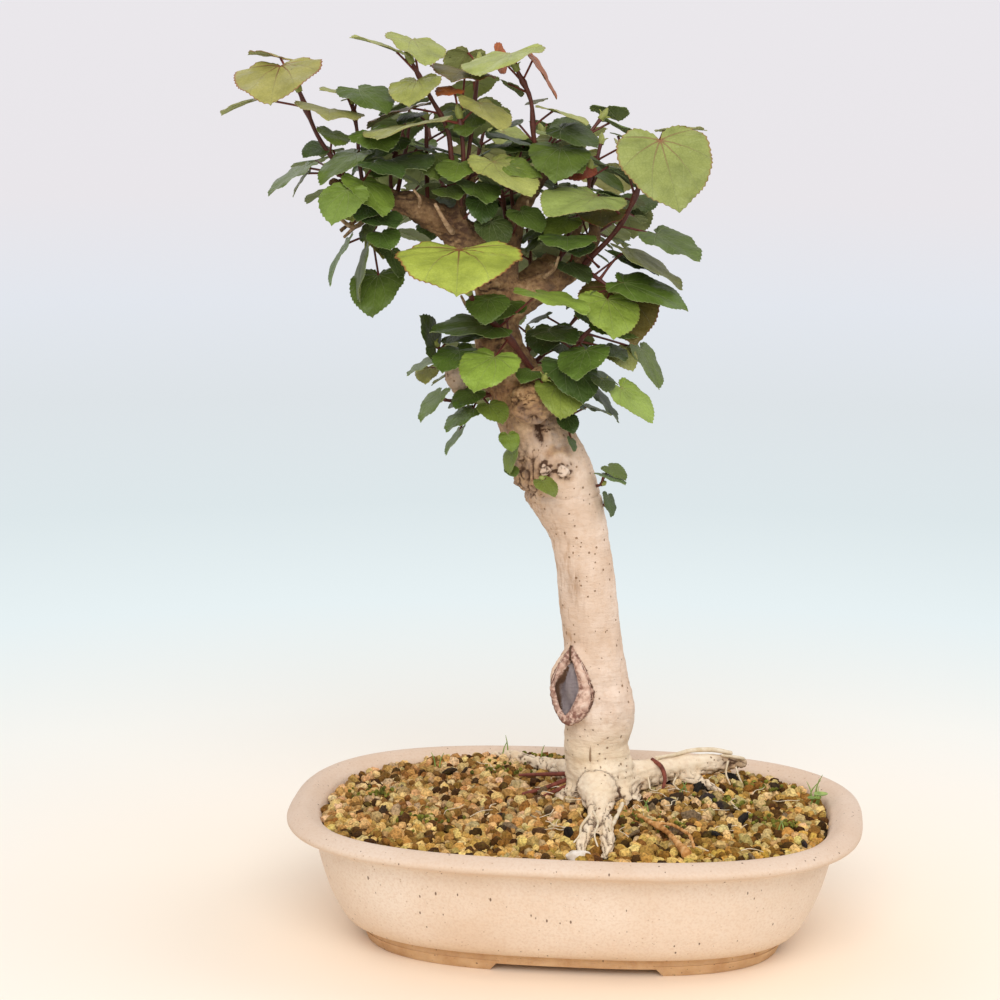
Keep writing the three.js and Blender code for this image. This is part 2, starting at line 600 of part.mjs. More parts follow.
// Shoots placed by eye. A stem runs from inside the wood to its bud; a leaf is the point where its stalk
// meets the blade (x, y, z), the turn and droop of the tip, the roll about it, the length and the age.
const SHOOTS = {
  left_tip: {
    stem: [[-141, -20, 469], [-150, -21, 483], [-162, -24, 501], [-172, -29, 527]],
    radii: [1.9, 1.3],
    leaves: [
      [-183, -32, 542, -90, 14, 8, 46, "gold"],
      [-184, -26, 543, 160, -15, 10, 22, "gold"],
      [-197, -20, 522, 160, 10, -5, 30, "light"],
      [-160, -18, 494, -135, 15, -20, 15, "dark"],
    ],
  },
  left_second: {
    stem: [[-133, -23, 464], [-136, -26, 486], [-137, -28, 503], [-140, -28, 520]],
    radii: [1.6, 1.1],
    leaves: [
      [-143, -30, 525, -135, -20, -10, 20, "light"],
      [-135, -36, 529, -45, 15, 5, 30, "mid"],
      [-153, -35, 517, -80, 0, -10, 36, "light"],
      [-141, -22, 523, 60, -5, -10, 16, "light"],
    ],
  },
  top_left: {
    stem: [[-80, -24, 487], [-83, -26, 507], [-93, -31, 526], [-103, -34, 545]],
    radii: [1.9, 1.2],
    leaves: [
      [-112, -37, 552, -155, -25, -5, 30, "light"],
      [-103, -34, 555, -65, 15, -10, 32, "light"],
      [-100, -36, 531, -95, 20, 10, 28, "light"],
      [-104, -20, 518, 160, 10, -5, 34, "bronze"],
    ],
  },
  top_mid: {
    stem: [[-74, -19, 474], [-73, -23, 487], [-74, -25, 503], [-75, -28, 513]],
    radii: [1.8, 1.3],
    leaves: [
      [-78, -32, 530, -125, 5, -10, 15, "orange"],
      [-63, -32, 522, -50, 25, -10, 30, "light"],
      [-73, -15, 513, -85, 25, 10, 26, "mid"],
      [-99, -40, 509, -115, 0, 10, 46, "light"],
      [-80, -14, 536, -95, -5, -10, 34, "bronze"],
    ],
  },
  top_right: {
    stem: [[-26, 0, 484], [-32, -5, 499], [-34, -9, 523], [-42, -14, 541]],
    radii: [1.8, 1.2],
    leaves: [
      [-46, -19, 551, -110, 10, 10, 44, "light"],
      [-33, -7, 548, 0, 55, 0, 28, "orange"],
      [-21, -6, 517, -35, 5, -10, 28, "light"],
      [-22, 2, 501, 60, 0, 10, 26, "light"],
      [-65, -8, 543, 40, 45, 65, 16, "orange"],
      [-48, -5, 533, 50, 30, 10, 14, "olive"],
      [-34, -1, 521, 45, -25, -5, 12, "olive"],
    ],
  },
  mid_front: {
    stem: [[-74, -23, 460], [-73, -27, 470], [-68, -29, 478], [-63, -30, 482]],
    radii: [1.3, 1.0],
    leaves: [
      [-54, -31, 487, -40, 25, 0, 38, "light"],
      [-82, -32, 471, -60, 10, 10, 18, "mid"],
    ],
  },
  right_tip: {
    stem: [[-5, -2, 419], [4, -6, 429], [17, -8, 443], [26, -11, 457], [34, -15, 476]],
    radii: [2.2, 1.4],
    leaves: [
      [45, -20, 501, -65, 45, 8, 50, "light"],
      [46, -14, 502, 5, -10, -5, 26, "light"],
      [19, -6, 503, 30, 15, 5, 16, "dark"],
      [7, -23, 467, -125, 0, -10, 44, "light"],
      [44, -10, 444, -30, 20, 5, 36, "dark"],
    ],
  },
  right_upright: {
    stem: [[4, 4, 438], [2, 4, 454], [1, 4, 469], [2, 2, 480]],
    radii: [1.5, 1.2],
    leaves: [
      [-1, -2, 484, -140, 15, -30, 19, "red"],
      [12, 11, 483, 55, 15, 10, 34, "dark"],
      [8, 9, 467, 45, 10, 10, 26, "mid"],
      [0, 26, 446, 80, -15, 0, 30, "bronze"],
      [11, 17, 440, 55, 15, 10, 22, "mid"],
    ],
  },
  right_low: {
    stem: [[-1, -6, 422], [5, -12, 419], [13, -15, 414], [19, -16, 410]],
    radii: [1.5, 1.1],
    leaves: [
      [26, -11, 434, -15, 25, -5, 42, "olive"],
      [20, -4, 429, 25, 15, 10, 30, "dark"],
      [25, -22, 419, -10, 10, 10, 42, "mid"],
      [20, -8, 400, -60, 35, 10, 44, "bronze"],
      [16, -33, 406, -75, 30, -10, 36, "lime"],
    ],
  },
  front: {
    stem: [[-28, -16, 357], [-45, -35, 384], [-59, -54, 399], [-64, -63, 411]],
    radii: [2.3, 1.4],
    leaves: [
      [-70, -67, 437, -85, 5, -8, 64, "lime"],
      [-30, -37, 411, -40, 10, -5, 46, "lime"],
      [-51, -27, 389, -160, -5, -10, 40, "mid"],
      [-50, -51, 372, -110, 25, -5, 36, "lime"],
      [-40, -26, 399, -115, 10, -10, 28, "mid"],
    ],
  },
  front_right: {
    stem: [[-16, -16, 363], [-8, -21, 371], [-1, -26, 380], [10, -31, 392]],
    radii: [1.8, 1.2],
    leaves: [
      [4, -40, 376, -100, 25, 10, 28, "mid"],
      [15, -21, 380, -40, 15, 0, 18, "dark"],
      [21, -12, 373, -45, 25, 10, 18, "light"],
      [33, -19, 376, -35, 50, -15, 30, "mid"],
      [-19, -32, 386, -45, 0, 10, 24, "dark"],
    ],
  },
  low_right: {
    stem: [[-15, -16, 358], [-6, -21, 360], [3, -24, 358], [12, -27, 356]],
    radii: [1.6, 1.1],
    leaves: [
      [22, -30, 353, -40, 25, 0, 34, "lime"],
      [8, -19, 349, -5, 45, 0, 25, "dark"],
      [-8, -27, 366, -60, 30, -5, 32, "dark"],
    ],
  },
  low_front: {
    stem: [[-26, -22, 345], [-25, -30, 350], [-23, -36, 355], [-21, -41, 358]],
    radii: [1.5, 1.1],
    leaves: [
      [-15, -44, 355, -80, 30, -10, 32, "lime"],
      [-10, -40, 366, -50, 20, 10, 15, "mid"],
      [-29, -37, 362, -110, 10, -10, 14, "mid"],
    ],
  },
  left_mid: {
    stem: [[-80, -14, 357], [-82, -18, 364], [-84, -20, 369], [-88, -23, 374]],
    radii: [1.4, 1.0],
    leaves: [
      [-89, -25, 374, -115, -60, -75, 24, "dark"],
      [-78, -30, 377, -25, -10, 20, 22, "dark"],
      [-87, -25, 366, -145, 25, 5, 24, "mid"],
      [-95, -13, 359, -95, 30, 10, 14, "light"],
    ],
  },
  left_low: {
    stem: [[-54, -12, 344], [-74, -21, 341], [-80, -24, 341], [-84, -26, 342]],
    radii: [1.5, 1.0],
    leaves: [
      [-82, -28, 353, -140, 40, 10, 27, "mid"],
      [-65, -29, 347, -125, 20, -5, 18, "mid"],
      [-65, -31, 337, -140, 25, 5, 23, "mid"],
      [-74, -21, 322, -135, 45, 25, 18, "mid"],
      [-55, -38, 342, -50, 25, 10, 24, "olive"],
    ],
  },
  trunk_left: {
    stem: [[-38, -18, 309], [-40, -22, 312], [-41, -24, 315]],
    radii: [1.2, 0.9],
    leaves: [
      [-45, -27, 325, -45, 45, 5, 14, "mid"],
      [-40, -30, 312, -115, 55, 15, 17, "mid"],
      [-41, -26, 303, -60, 25, 10, 10, "mid"],
    ],
  },
  trunk_front: {
    stem: [[-19, -22, 297], [-19, -32, 295], [-21, -34, 296]],
    radii: [1.2, 0.9],
    leaves: [
      [-23, -36, 296, -50, 20, 10, 19, "lime"],
    ],
  },
  trunk_right: {
    stem: [[7, -5, 287], [11, -7, 288], [13, -7, 289]],
    radii: [1.2, 0.9],
    leaves: [
      [13, -5, 300, -40, 25, 10, 18, "mid"],
      [11, -13, 294, -40, 10, -5, 20, "mid"],
    ],
  },
  trunk_right_low: {
    stem: [[14, -1, 274], [15, 0, 276]],
    radii: [1.1, 0.9],
    leaves: [
      [16, 0, 277, -60, 45, -5, 14, "dark"],
    ],
  },
  under_right: {
    stem: [[-12, -13, 329], [-9, -17, 331]],
    radii: [1.2, 0.9],
    leaves: [
      [-12, -21, 332, -55, 35, 10, 16, "dark"],
      [-10, -15, 317, -50, 20, 10, 9, "dark"],
    ],
  },
  left_bough_end: {
    stem: [[-133, -27, 464], [-139, -32, 471], [-144, -34, 476], [-149, -35, 480]],
    radii: [1.6, 1.1],
    leaves: [
      [-136, -38, 491, -140, 25, 0, 30, "mid"],
      [-168, -31, 486, -150, 25, 5, 29, "mid"],
      [-168, -23, 478, -175, 45, -5, 17, "olive"],
      [-157, -20, 490, 120, 10, -10, 24, "mid"],
    ],
  },
  left_front: {
    stem: [[-118, -27, 462], [-124, -40, 466], [-129, -45, 470], [-134, -47, 472]],
    radii: [1.5, 1.1],
    leaves: [
      [-130, -50, 479, -50, 30, -10, 30, "green"],
      [-139, -56, 471, -110, 32, -5, 33, "green"],
      [-142, -40, 462, -70, 25, 10, 20, "light"],
      [-125, -49, 461, -115, 15, -10, 17, "dark"],
      [-122, -48, 455, -50, 10, 10, 22, "dark"],
    ],
  },
  left_back: {
    stem: [[-117, -20, 467], [-118, -18, 475], [-117, -16, 483], [-115, -13, 491]],
    radii: [1.5, 1.0],
    leaves: [
      [-116, -26, 487, -50, -5, 10, 36, "dark"],
      [-121, -16, 499, -125, 15, -10, 26, "dark"],
      [-111, -7, 509, 130, 15, -10, 30, "mid"],
      [-108, -3, 498, 55, 10, 10, 28, "dark"],
    ],
  },
  left_hang: {
    stem: [[-121, -26, 456], [-125, -30, 448], [-128, -33, 441]],
    radii: [1.5, 1.0],
    leaves: [
      [-142, -36, 437, -140, 50, 25, 28, "mid"],
      [-130, -35, 435, -120, 65, 45, 34, "mid"],
      [-124, -38, 417, -95, 40, 10, 30, "mid"],
      [-127, -39, 445, -125, 45, 15, 13, "dark"],
      [-129, -27, 436, -50, 35, -20, 12, "light"],
      [-120, -26, 432, -60, 45, -30, 20, "dark"],
    ],
  },
  mid_back: {
    stem: [[-45, 5, 455], [-47, 12, 466], [-46, 17, 476], [-44, 19, 484]],
    radii: [1.5, 1.0],
    leaves: [
      [-36, 17, 496, -130, -15, -10, 32, "dark"],
      [-54, 3, 494, -40, 0, 5, 28, "mid"],
      [-22, 24, 496, -85, 25, 0, 30, "olive"],
      [-12, 20, 498, 115, -25, -10, 22, "dark"],
    ],
  },
};

// Shoots placed by rule, on the hidden side and inside the crown: the start on the wood's axis, the way it
// leans, how steeply it rises, its length, the number of leaves, the largest leaf and the age.
const FILLING = {
  back_left_end: { from: [-92, 58, 456], lean: 120, rise: 45, reach: 46, count: 4, size: 40, age: "mid" },
  back_left_low: { from: [-80, 42, 436], lean: 150, rise: 15, reach: 44, count: 3, size: 34, age: "dark" },
  back_left_high: { from: [-84, 48, 442], lean: 60, rise: 60, reach: 56, count: 4, size: 40, age: "light" },
  back_right_end: { from: [-6, 52, 448], lean: 75, rise: 45, reach: 46, count: 4, size: 42, age: "light" },
  back_right_side: { from: [-18, 42, 428], lean: 15, rise: 20, reach: 48, count: 3, size: 36, age: "mid" },
  back_right_high: { from: [-12, 47, 438], lean: 140, rise: 60, reach: 54, count: 4, size: 38, age: "mid" },
  back_right_low: { from: [-36, 24, 412], lean: 95, rise: 5, reach: 42, count: 3, size: 32, age: "dark" },
  inner_left: { from: [-95, -19, 455], lean: 100, rise: 55, reach: 50, count: 4, size: 30, age: "dark" },
  inner_middle: { from: [-46, 3, 434], lean: 110, rise: 45, reach: 48, count: 4, size: 30, age: "dark" },
  inner_right: { from: [-23, -4, 411], lean: 60, rise: 45, reach: 42, count: 3, size: 28, age: "mid" },
  low_back: { from: [-34, -5, 335], lean: 95, rise: 25, reach: 58, count: 4, size: 34, age: "mid" },
  low_back_right: { from: [-43, -6, 353], lean: 40, rise: 25, reach: 52, count: 3, size: 30, age: "dark" },
  low_back_left: { from: [-30, -5, 326], lean: 150, rise: 25, reach: 54, count: 3, size: 32, age: "mid" },
  left_bough_back: { from: [-114, -23, 463], lean: 85, rise: 40, reach: 46, count: 4, size: 34, age: "mid" },
  top_back: { from: [-75, -18, 456], lean: 75, rise: 68, reach: 74, count: 4, size: 38, age: "light" },
  top_right_back: { from: [-32, 2, 470], lean: 20, rise: 35, reach: 50, count: 4, size: 34, age: "mid" },
};
const RULE = {
  whorl: 137.5, // turn from one leaf to the next
  stalk: 0.62, // stalk length over leaf length
  stalkRise: 30,
  swings: [0, 26, -26, 52, -52, 80, -80, 110, -110],
  reaches: [1, 0.7, 1.35],
  bend: 0.25, // how much a stem lifts towards its end
};
// Shifts that bend a leaf clear of its neighbours; the first one that leaves it free is kept.
const SHIFTS = [
  [0, 0, 0],
  [0, 4, 0],
  [0, -4, 0],
  [0, 0, 4],
  [0, 0, -4],
  [4, 0, 0],
  [-4, 0, 0],
  [0, 8, 2],
  [0, -8, -2],
  [0, 12, 0],
  [0, -12, 0],
  [6, 4, 4],
  [-6, -4, 4],
  [0, 17, 4],
  [0, -17, -4],
  [8, 10, 8],
  [-8, 10, 8],
  [8, -10, -8],
  [-8, -10, -8],
  [0, 24, 0],
  [10, 22, -6],
  [-10, 22, -6],
  [0, 30, 10],
];
// Test points: their spacing on blades and rods, and how near two of them may come.
const TEST = { blade: 4, rod: 3, bladeToBlade: 5, bladeToRod: 4, rodToRod: 2.6, own: 2.4, wood: 1.3 };
const STEM = { sides: 4, budLength: 6, budSwell: 0.25, budRadii: [1.9, 0.4], tolerance: 0.15 };

function budEnd(stem) {
  const end = stem[stem.length - 1];
  const last = end.clone().sub(stem[stem.length - 2]).normalize();
  return end.clone().addScaledVector(last, STEM.budLength);
}

function pointOn(path, share) {
  const at = share * (path.length - 1);
  const k = Math.min(Math.floor(at), path.length - 2);
  return path[k].clone().lerp(path[k + 1], at - k);
}

function nearestShare(path, target) {
  let best = 0;
  let least = Infinity;
  for (let step = 0; step <= 40; step += 1) {
    const away = pointOn(path, step / 40).distanceTo(target);
    if (away < least) {
      least = away;
      best = step / 40;
    }
  }
  return best;
}

// The stalk: from the stem to the notch of the blade, arching up under a large leaf.
function stalkPath(stem, leaf, share) {
  const start = pointOn(stem, share);
  const end = leaf.at;
  if (bladeKind(leaf.length) !== "large") {
    return [start, end];
  }
  const middle = start.clone().lerp(end, 0.55);
  middle.z += 0.1 * start.distanceTo(end);
  return [start, middle, end];
}

function along(path, spacing, radius) {
  const found = [];
  for (let k = 0; k < path.length - 1; k += 1) {
    const count = Math.max(1, Math.round(path[k].distanceTo(path[k + 1]) / spacing));
    for (let i = 1; i <= count; i += 1) {
      found.push({ at: path[k].clone().lerp(path[k + 1], i / count), rod: true, radius });
    }
  }
  return found;
}

function bladeHalfWidth(u) {
  if (u < 0.2) {
    return 0.55 * Math.sqrt(Math.max(0, 1 - ((u - 0.2) / 0.42) ** 2));
  }
  return 0.55 * (1 - ((u - 0.2) / 0.82) ** 1.6);
}

function overBlade(leaf) {
  const found = [];
  const step = TEST.blade / leaf.length;
  for (let u = -0.15; u <= 1.001; u += step) {
    const rows = Math.floor(bladeHalfWidth(u) / step);
    for (let row = -rows; row <= rows; row += 1) {
      found.push({ at: onBlade(leaf, u, row * step), rod: false, radius: 0.4 });
    }
  }
  [[1, 0], [-0.16, 0.33], [-0.16, -0.33], [0.16, 0.55], [0.16, -0.55]].forEach(([u, v]) => {
    found.push({ at: onBlade(leaf, u, v), rod: false, radius: 0.4 });
  });
  return found;
}

const woodSpans = Object.values(LIMBS).flatMap(({ line }) =>
  line.slice(1).map((end, k) => ({
    a: new THREE.Vector3(...line[k].slice(0, 3)),
    b: new THREE.Vector3(...end.slice(0, 3)),
    ra: line[k][3],
    rb: end[3],
  })),
);

function inWood(point, margin) {
  return woodSpans.some(({ a, b, ra, rb }) => {
    const span = b.clone().sub(a);
    const share = Math.min(1, Math.max(0, point.clone().sub(a).dot(span) / span.lengthSq()));
    const radius = ra + (rb - ra) * share;
    return point.distanceTo(a.clone().addScaledVector(span, share)) < 1.05 * radius + margin;
  });
}

function tooNear(one, other, sameShoot) {
  if (sameShoot) {
    return TEST.own;
  }
  if (one.rod && other.rod) {
    return TEST.rodToRod;
  }
  return one.rod || other.rod ? TEST.bladeToRod : TEST.bladeToBlade;
}

function isFree(points, shoot, taken) {
  if (points.some((point) => inWood(point.at, point.radius + TEST.wood))) {
    return false;
  }
  const middle = points.reduce((sum, { at }) => sum.add(at), new THREE.Vector3()).divideScalar(points.length);
  const reach = Math.max(...points.map(({ at }) => at.distanceTo(middle)));
  return taken.every((group) => {
    if (group.middle.distanceTo(middle) > reach + group.reach + TEST.bladeToBlade) {
      return true;
    }
    const same = group.shoot === shoot;
    return points.every((one) =>
      group.points.every((other) => {
        if (same && (one.rod || other.rod)) {
          return true;
        }
        return one.at.distanceTo(other.at) >= tooNear(one, other, same);
      }),
    );
  });
}

function grouped(points, shoot) {
  const middle = points.reduce((sum, { at }) => sum.add(at), new THREE.Vector3()).divideScalar(points.length);
  return { shoot, points, middle, reach: Math.max(...points.map(({ at }) => at.distanceTo(middle))) };
}

function makeLeaf(at, turn, droop, roll, length, age, curl) {
  return { at, axes: leafAxes(turn, droop, roll), length, age, curl };
}

// The first of the candidates that is free of everything already placed, with its stalk.
function settle(candidates, stem, shoot, taken) {
  for (const { leaf, share } of candidates) {
    const stalk = stalkPath(stem, leaf, share);
    const stalkPoints = along(stalk, TEST.rod, STALK.radius).slice(2);
    const points = [...overBlade(leaf), ...stalkPoints];
    if (isFree(points, shoot, taken)) {
      taken.push(grouped(points, shoot));
      return { leaf, stalk };
    }
  }
  return null;
}

function fillingStem({ from, lean, rise, reach }) {
  const start = new THREE.Vector3(...from);
  return [0, 0.34, 0.67, 1].map((share) => {
    const level = reach * share * Math.cos(rise * DEG);
    const height = reach * share * (Math.sin(rise * DEG) + RULE.bend * share);
    return start
      .clone()
      .add(new THREE.Vector3(level * Math.cos(lean * DEG), level * Math.sin(lean * DEG), height));
  });
}

function placedCandidates(row, stem, draw) {
  const [x, y, z, turn, droop, roll, length, age] = row;
  const curl = 0.4 + 1.2 * draw();
  return SHIFTS.map(([dx, dy, dz]) => {
    const leaf = makeLeaf(new THREE.Vector3(x + dx, y + dy, z + dz), turn, droop, roll, length, age, curl);
    return { leaf, share: Math.max(0.12, nearestShare(stem, leaf.at) - 0.12) };
  });
}

function ruledCandidates(shoot, stem, k, draw) {
  const share = 0.42 + (0.58 * k) / Math.max(1, shoot.count - 1);
  const length = Math.round(shoot.size * (0.72 + 0.28 * draw()) * (k === shoot.count - 1 ? 0.75 : 1));
  const droop = 12 + 26 * draw();
  const roll = 24 * (draw() - 0.5);
  const curl = 0.4 + 1.2 * draw();
  const start = pointOn(stem, share);
  return RULE.reaches.flatMap((stretch) =>
    RULE.swings.map((swing) => {
      const turn = shoot.lean + RULE.whorl * k + swing;
      const stalk = RULE.stalk * length * stretch;
      const level = stalk * Math.cos(RULE.stalkRise * DEG);
      const at = start.clone().add(
        new THREE.Vector3(
          level * Math.cos(turn * DEG),
          level * Math.sin(turn * DEG),
          stalk * Math.sin(RULE.stalkRise * DEG),
        ),
      );
      return { leaf: makeLeaf(at, turn, droop, roll, length, shoot.age, curl), share };
    }),
  );
}

function placeLeaves() {
  const draw = randomFrom(2024);
  const plan = [
    ...Object.entries(SHOOTS).map(([name, shoot]) => ({
      name,
      stem: shoot.stem.map((point) => new THREE.Vector3(...point)),
      radii: shoot.radii,
      wanted: shoot.leaves.map((row) => (stem) => placedCandidates(row, stem, draw)),
    })),
    ...Object.entries(FILLING).map(([name, shoot]) => ({
      name,
      stem: fillingStem(shoot),
      radii: [1.7, 1.1],
      wanted: Array.from({ length: shoot.count }, (_, k) => (stem) => ruledCandidates(shoot, stem, k, draw)),
    })),
  ];
  const taken = plan.map(({ name, stem }) => grouped(along([...stem, budEnd(stem)], TEST.rod, 1.5), name));
  return plan.map(({ name, stem, radii, wanted }) => ({
    name,
    stem,
    radii,
    leaves: wanted.map((candidates) => settle(candidates(stem), stem, name, taken)).filter((found) => found),
  }));
}

function makeShoot({ stem, radii, leaves }, wood) {
  const count = stem.length;
  const swell = stem[count - 1].clone().lerp(budEnd(stem), STEM.budSwell);
  const taper = stem.map((_, k) => radii[0] + ((radii[1] - radii[0]) * k) / (count - 1));
  const parts = [rod([...stem, swell, budEnd(stem)], [...taper, ...STEM.budRadii], STEM.sides)];
  leaves.forEach(({ leaf, stalk }) => {
    parts.push(leafSolid(leaf, stalk));
  });
  const whole = joined(parts).subtract(wood).simplify(STEM.tolerance);
  const bodies = whole.decompose().sort((a, b) => b.volume() - a.volume());
  return bodies[0];
}

function shootColour(leaves) {
  const mixed = new THREE.Color(0, 0, 0);
  leaves.forEach(({ leaf }) => mixed.add(new THREE.Color(AGES[leaf.age])));
  return mixed.multiplyScalar(1 / leaves.length);
}

// Whole object.
function meshOf(name, solid, colour, roughness) {
  const { vertProperties, triVerts } = solid.getMesh();
  const geometry = new THREE.BufferGeometry();
  geometry.setAttribute("position", new THREE.BufferAttribute(new Float32Array(vertProperties), 3));
  geometry.setIndex(new THREE.BufferAttribute(new Uint32Array(triVerts), 1));
  geometry.computeVertexNormals();
  const material = new THREE.MeshStandardMaterial({ color: colour, roughness, metalness: 0 });
  const mesh = new THREE.Mesh(geometry, material);
  mesh.name = name;
  return mesh;
}

const tree = makeTree();
const treeRoom = makeTree(GAP);
const deadRoot = limb(DEAD_ROOT, 0);
const soil = makeSoil()
  .subtract(treeRoom)
  .subtract(limb(DEAD_ROOT, GAP))
  .subtract(makePebble(GAP))
  .simplify(SOIL.tolerance);
const shoots = placeLeaves();

const bonsai = new THREE.Group();
bonsai.name = "sea_hibiscus_bonsai";
bonsai.add(
  meshOf("pot", makePot(), POT.colour, 0.85),
  meshOf("drain_screen_left", makeScreen(-1), SCREEN.colour, 0.6),
  meshOf("drain_screen_right", makeScreen(1), SCREEN.colour, 0.6),
  meshOf("soil", soil, SOIL.colour, 0.95),
  meshOf("tree", tree, TREE.colour, 0.85),
  meshOf("dead_root", deadRoot, DEAD_ROOT.colour, 0.8),
  meshOf("pebble", makePebble(), PEBBLE.colour, 0.7),
  ...shoots.map((shoot) =>
    meshOf(`shoot_${shoot.name}`, makeShoot(shoot, treeRoom), shootColour(shoot.leaves), 0.55),
  ),
);

const extent = new THREE.Box3().setFromObject(bonsai);
const middle = extent.getCenter(new THREE.Vector3());
bonsai.children.forEach(({ geometry }) => geometry.translate(-middle.x, -middle.y, -extent.min.z));

export default bonsai;
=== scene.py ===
import math

import bpy
import numpy as np
from mathutils import Matrix, Vector, noise


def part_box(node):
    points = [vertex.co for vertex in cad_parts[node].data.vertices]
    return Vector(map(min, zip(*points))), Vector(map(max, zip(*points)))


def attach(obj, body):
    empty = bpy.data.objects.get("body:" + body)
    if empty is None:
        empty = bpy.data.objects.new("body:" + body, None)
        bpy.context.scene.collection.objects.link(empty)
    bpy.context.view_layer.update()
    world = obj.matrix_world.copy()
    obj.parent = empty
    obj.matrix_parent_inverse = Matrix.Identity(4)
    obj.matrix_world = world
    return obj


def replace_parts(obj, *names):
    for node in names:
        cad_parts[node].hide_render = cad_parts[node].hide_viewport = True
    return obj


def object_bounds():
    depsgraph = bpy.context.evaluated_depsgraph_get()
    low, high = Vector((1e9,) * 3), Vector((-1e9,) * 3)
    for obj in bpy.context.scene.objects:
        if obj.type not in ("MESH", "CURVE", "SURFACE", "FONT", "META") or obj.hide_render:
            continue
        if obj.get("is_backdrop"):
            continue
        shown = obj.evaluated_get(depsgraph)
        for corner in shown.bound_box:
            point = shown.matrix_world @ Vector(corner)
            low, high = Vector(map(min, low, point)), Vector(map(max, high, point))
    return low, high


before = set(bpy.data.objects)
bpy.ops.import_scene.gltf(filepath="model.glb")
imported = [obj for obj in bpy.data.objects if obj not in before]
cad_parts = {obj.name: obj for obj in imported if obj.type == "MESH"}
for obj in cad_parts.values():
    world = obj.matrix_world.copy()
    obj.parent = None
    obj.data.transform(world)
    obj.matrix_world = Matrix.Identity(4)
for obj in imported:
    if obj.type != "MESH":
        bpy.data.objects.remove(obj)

cad_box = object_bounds()

# The pot: an oblong bowl of unglazed stoneware, about 360 mm long, with a rolled lip, a pulled-in neck and
# a set-in foot band that is cut away into four feet. Pressed in a mould and fired pale, so it stays matt.
# All sizes in this file are millimetres from the pot's middle at table height, until placed() moves them.
MM = 0.001
pot_low, pot_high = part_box("pot")
POT_MIDDLE = Vector(((pot_low.x + pot_high.x) / 2, (pot_low.y + pot_high.y) / 2, pot_low.z))
POT_HALF_LENGTH = 180
POT_HALF_DEPTH = 137
POT_SQUARENESS = 2.8
POT_POINTS = 144
POT_FLOOR = 12
# Inset from the widest line of the lip and height, from the underside over the lip to the floor inside.
POT_PROFILE = [
    (54, 5), (47.5, 5), (46.5, 12), (40, 13), (34, 19), (26, 35), (19.5, 56), (17.5, 68), (9, 73),
    (1.5, 75.5), (0.3, 80), (8.5, 84), (16, 81.5), (21.5, 74), (28, 38), (36, 19), (48, POT_FLOOR),
]
FOOT_SECTION = [(46.5, 7), (49, 0.7), (49.8, 0), (59.2, 0), (60, 0.7), (60, 7)]
FOOT_FRONT_GAP = 50
FOOT_FRONT_SHIFT = 8
FOOT_END_GAP = 30
FOOT_SLANT = 3
DRAIN_HOLE = {"radius": 11, "offset": 72}


def placed(points):
    return np.asarray(points, float) * MM + np.array(POT_MIDDLE)


def curve_through(points, steps):
    """Points on a smooth curve through the given ones, steps to each span."""
    ends = [2 * points[0] - points[1], *points, 2 * points[-1] - points[-2]]
    found = []
    for k in range(1, len(ends) - 2):
        a, b, c, d = ends[k - 1 : k + 3]
        for step in range(steps):
            t = step / steps
            bend, swing = 2 * a - 5 * b + 4 * c - d, 3 * b - a - 3 * c + d
            found.append(0.5 * (2 * b + (c - a) * t + bend * t**2 + swing * t**3))
    return np.array([*found, points[-1]])


def oblong(inset, turn):
    c, s = math.cos(turn), math.sin(turn)
    power = 2 / POT_SQUARENESS
    return (
        (POT_HALF_LENGTH - inset) * math.copysign(abs(c) ** power, c),
        (POT_HALF_DEPTH - inset) * math.copysign(abs(s) ** power, s),
    )


def new_piece(name, points, faces):
    mesh = bpy.data.meshes.new(name)
    mesh.from_pydata(placed(points).tolist(), [], faces)
    mesh.update()
    piece = bpy.data.objects.new(name, mesh)
    bpy.context.scene.collection.objects.link(piece)
    return piece


def only(piece):
    bpy.ops.object.select_all(action="DESELECT")
    piece.select_set(True)
    bpy.context.view_layer.objects.active = piece


def apply_modifier(piece, kind, **settings):
    only(piece)
    made = piece.modifiers.new(kind.lower(), kind)
    for key, value in settings.items():
        setattr(made, key, value)
    bpy.ops.object.modifier_apply(modifier=made.name)


def linear(code):
    channels = [int(code[i : i + 2], 16) / 255 for i in (0, 2, 4)]
    return [c / 12.92 if c <= 0.04045 else ((c + 0.055) / 1.055) ** 2.4 for c in channels] + [1.0]


def new_material(name, roughness, specular=0.4):
    material = bpy.data.materials.new(name)
    material.use_nodes = True
    surface = material.node_tree.nodes["Principled BSDF"]
    surface.inputs["Roughness"].default_value = roughness
    surface.inputs["Specular IOR Level"].default_value = specular
    return material, material.node_tree, surface


MODES = {
    "Math": "operation", "VectorMath": "operation", "MapRange": "interpolation_type", "MixRGB": "blend_type"
}


def add(tree, kind, *values, give=0, stops=(), **named):
    """Adds a node and gives one of its outputs. A kind may end in a dot and its mode. The values fill its
    sockets in order. A name with a capital letter is a socket too, and any other a setting. A string is an
    sRGB code, as each stop's colour is."""
    kind, _, mode = kind.partition(".")
    node = tree.nodes.new("ShaderNode" + kind)
    if mode:
        setattr(node, MODES[kind], mode)
    sockets = list(enumerate(values)) + [(name, named[name]) for name in named if name[0].isupper()]
    for name in named:
        if not name[0].isupper():
            setattr(node, name, named[name])
    for key, value in sockets:
        if isinstance(value, bpy.types.NodeSocket):
            tree.links.new(value, node.inputs[key])
        else:
            node.inputs[key].default_value = linear(value) if isinstance(value, str) else value
    ramp = node.color_ramp.elements if stops else ()
    while len(ramp) < len(stops):
        ramp.new(0.5)
    for element, (position, code) in zip(ramp, stops):
        element.position = position
        element.color = linear(code)
    return node.outputs[give]


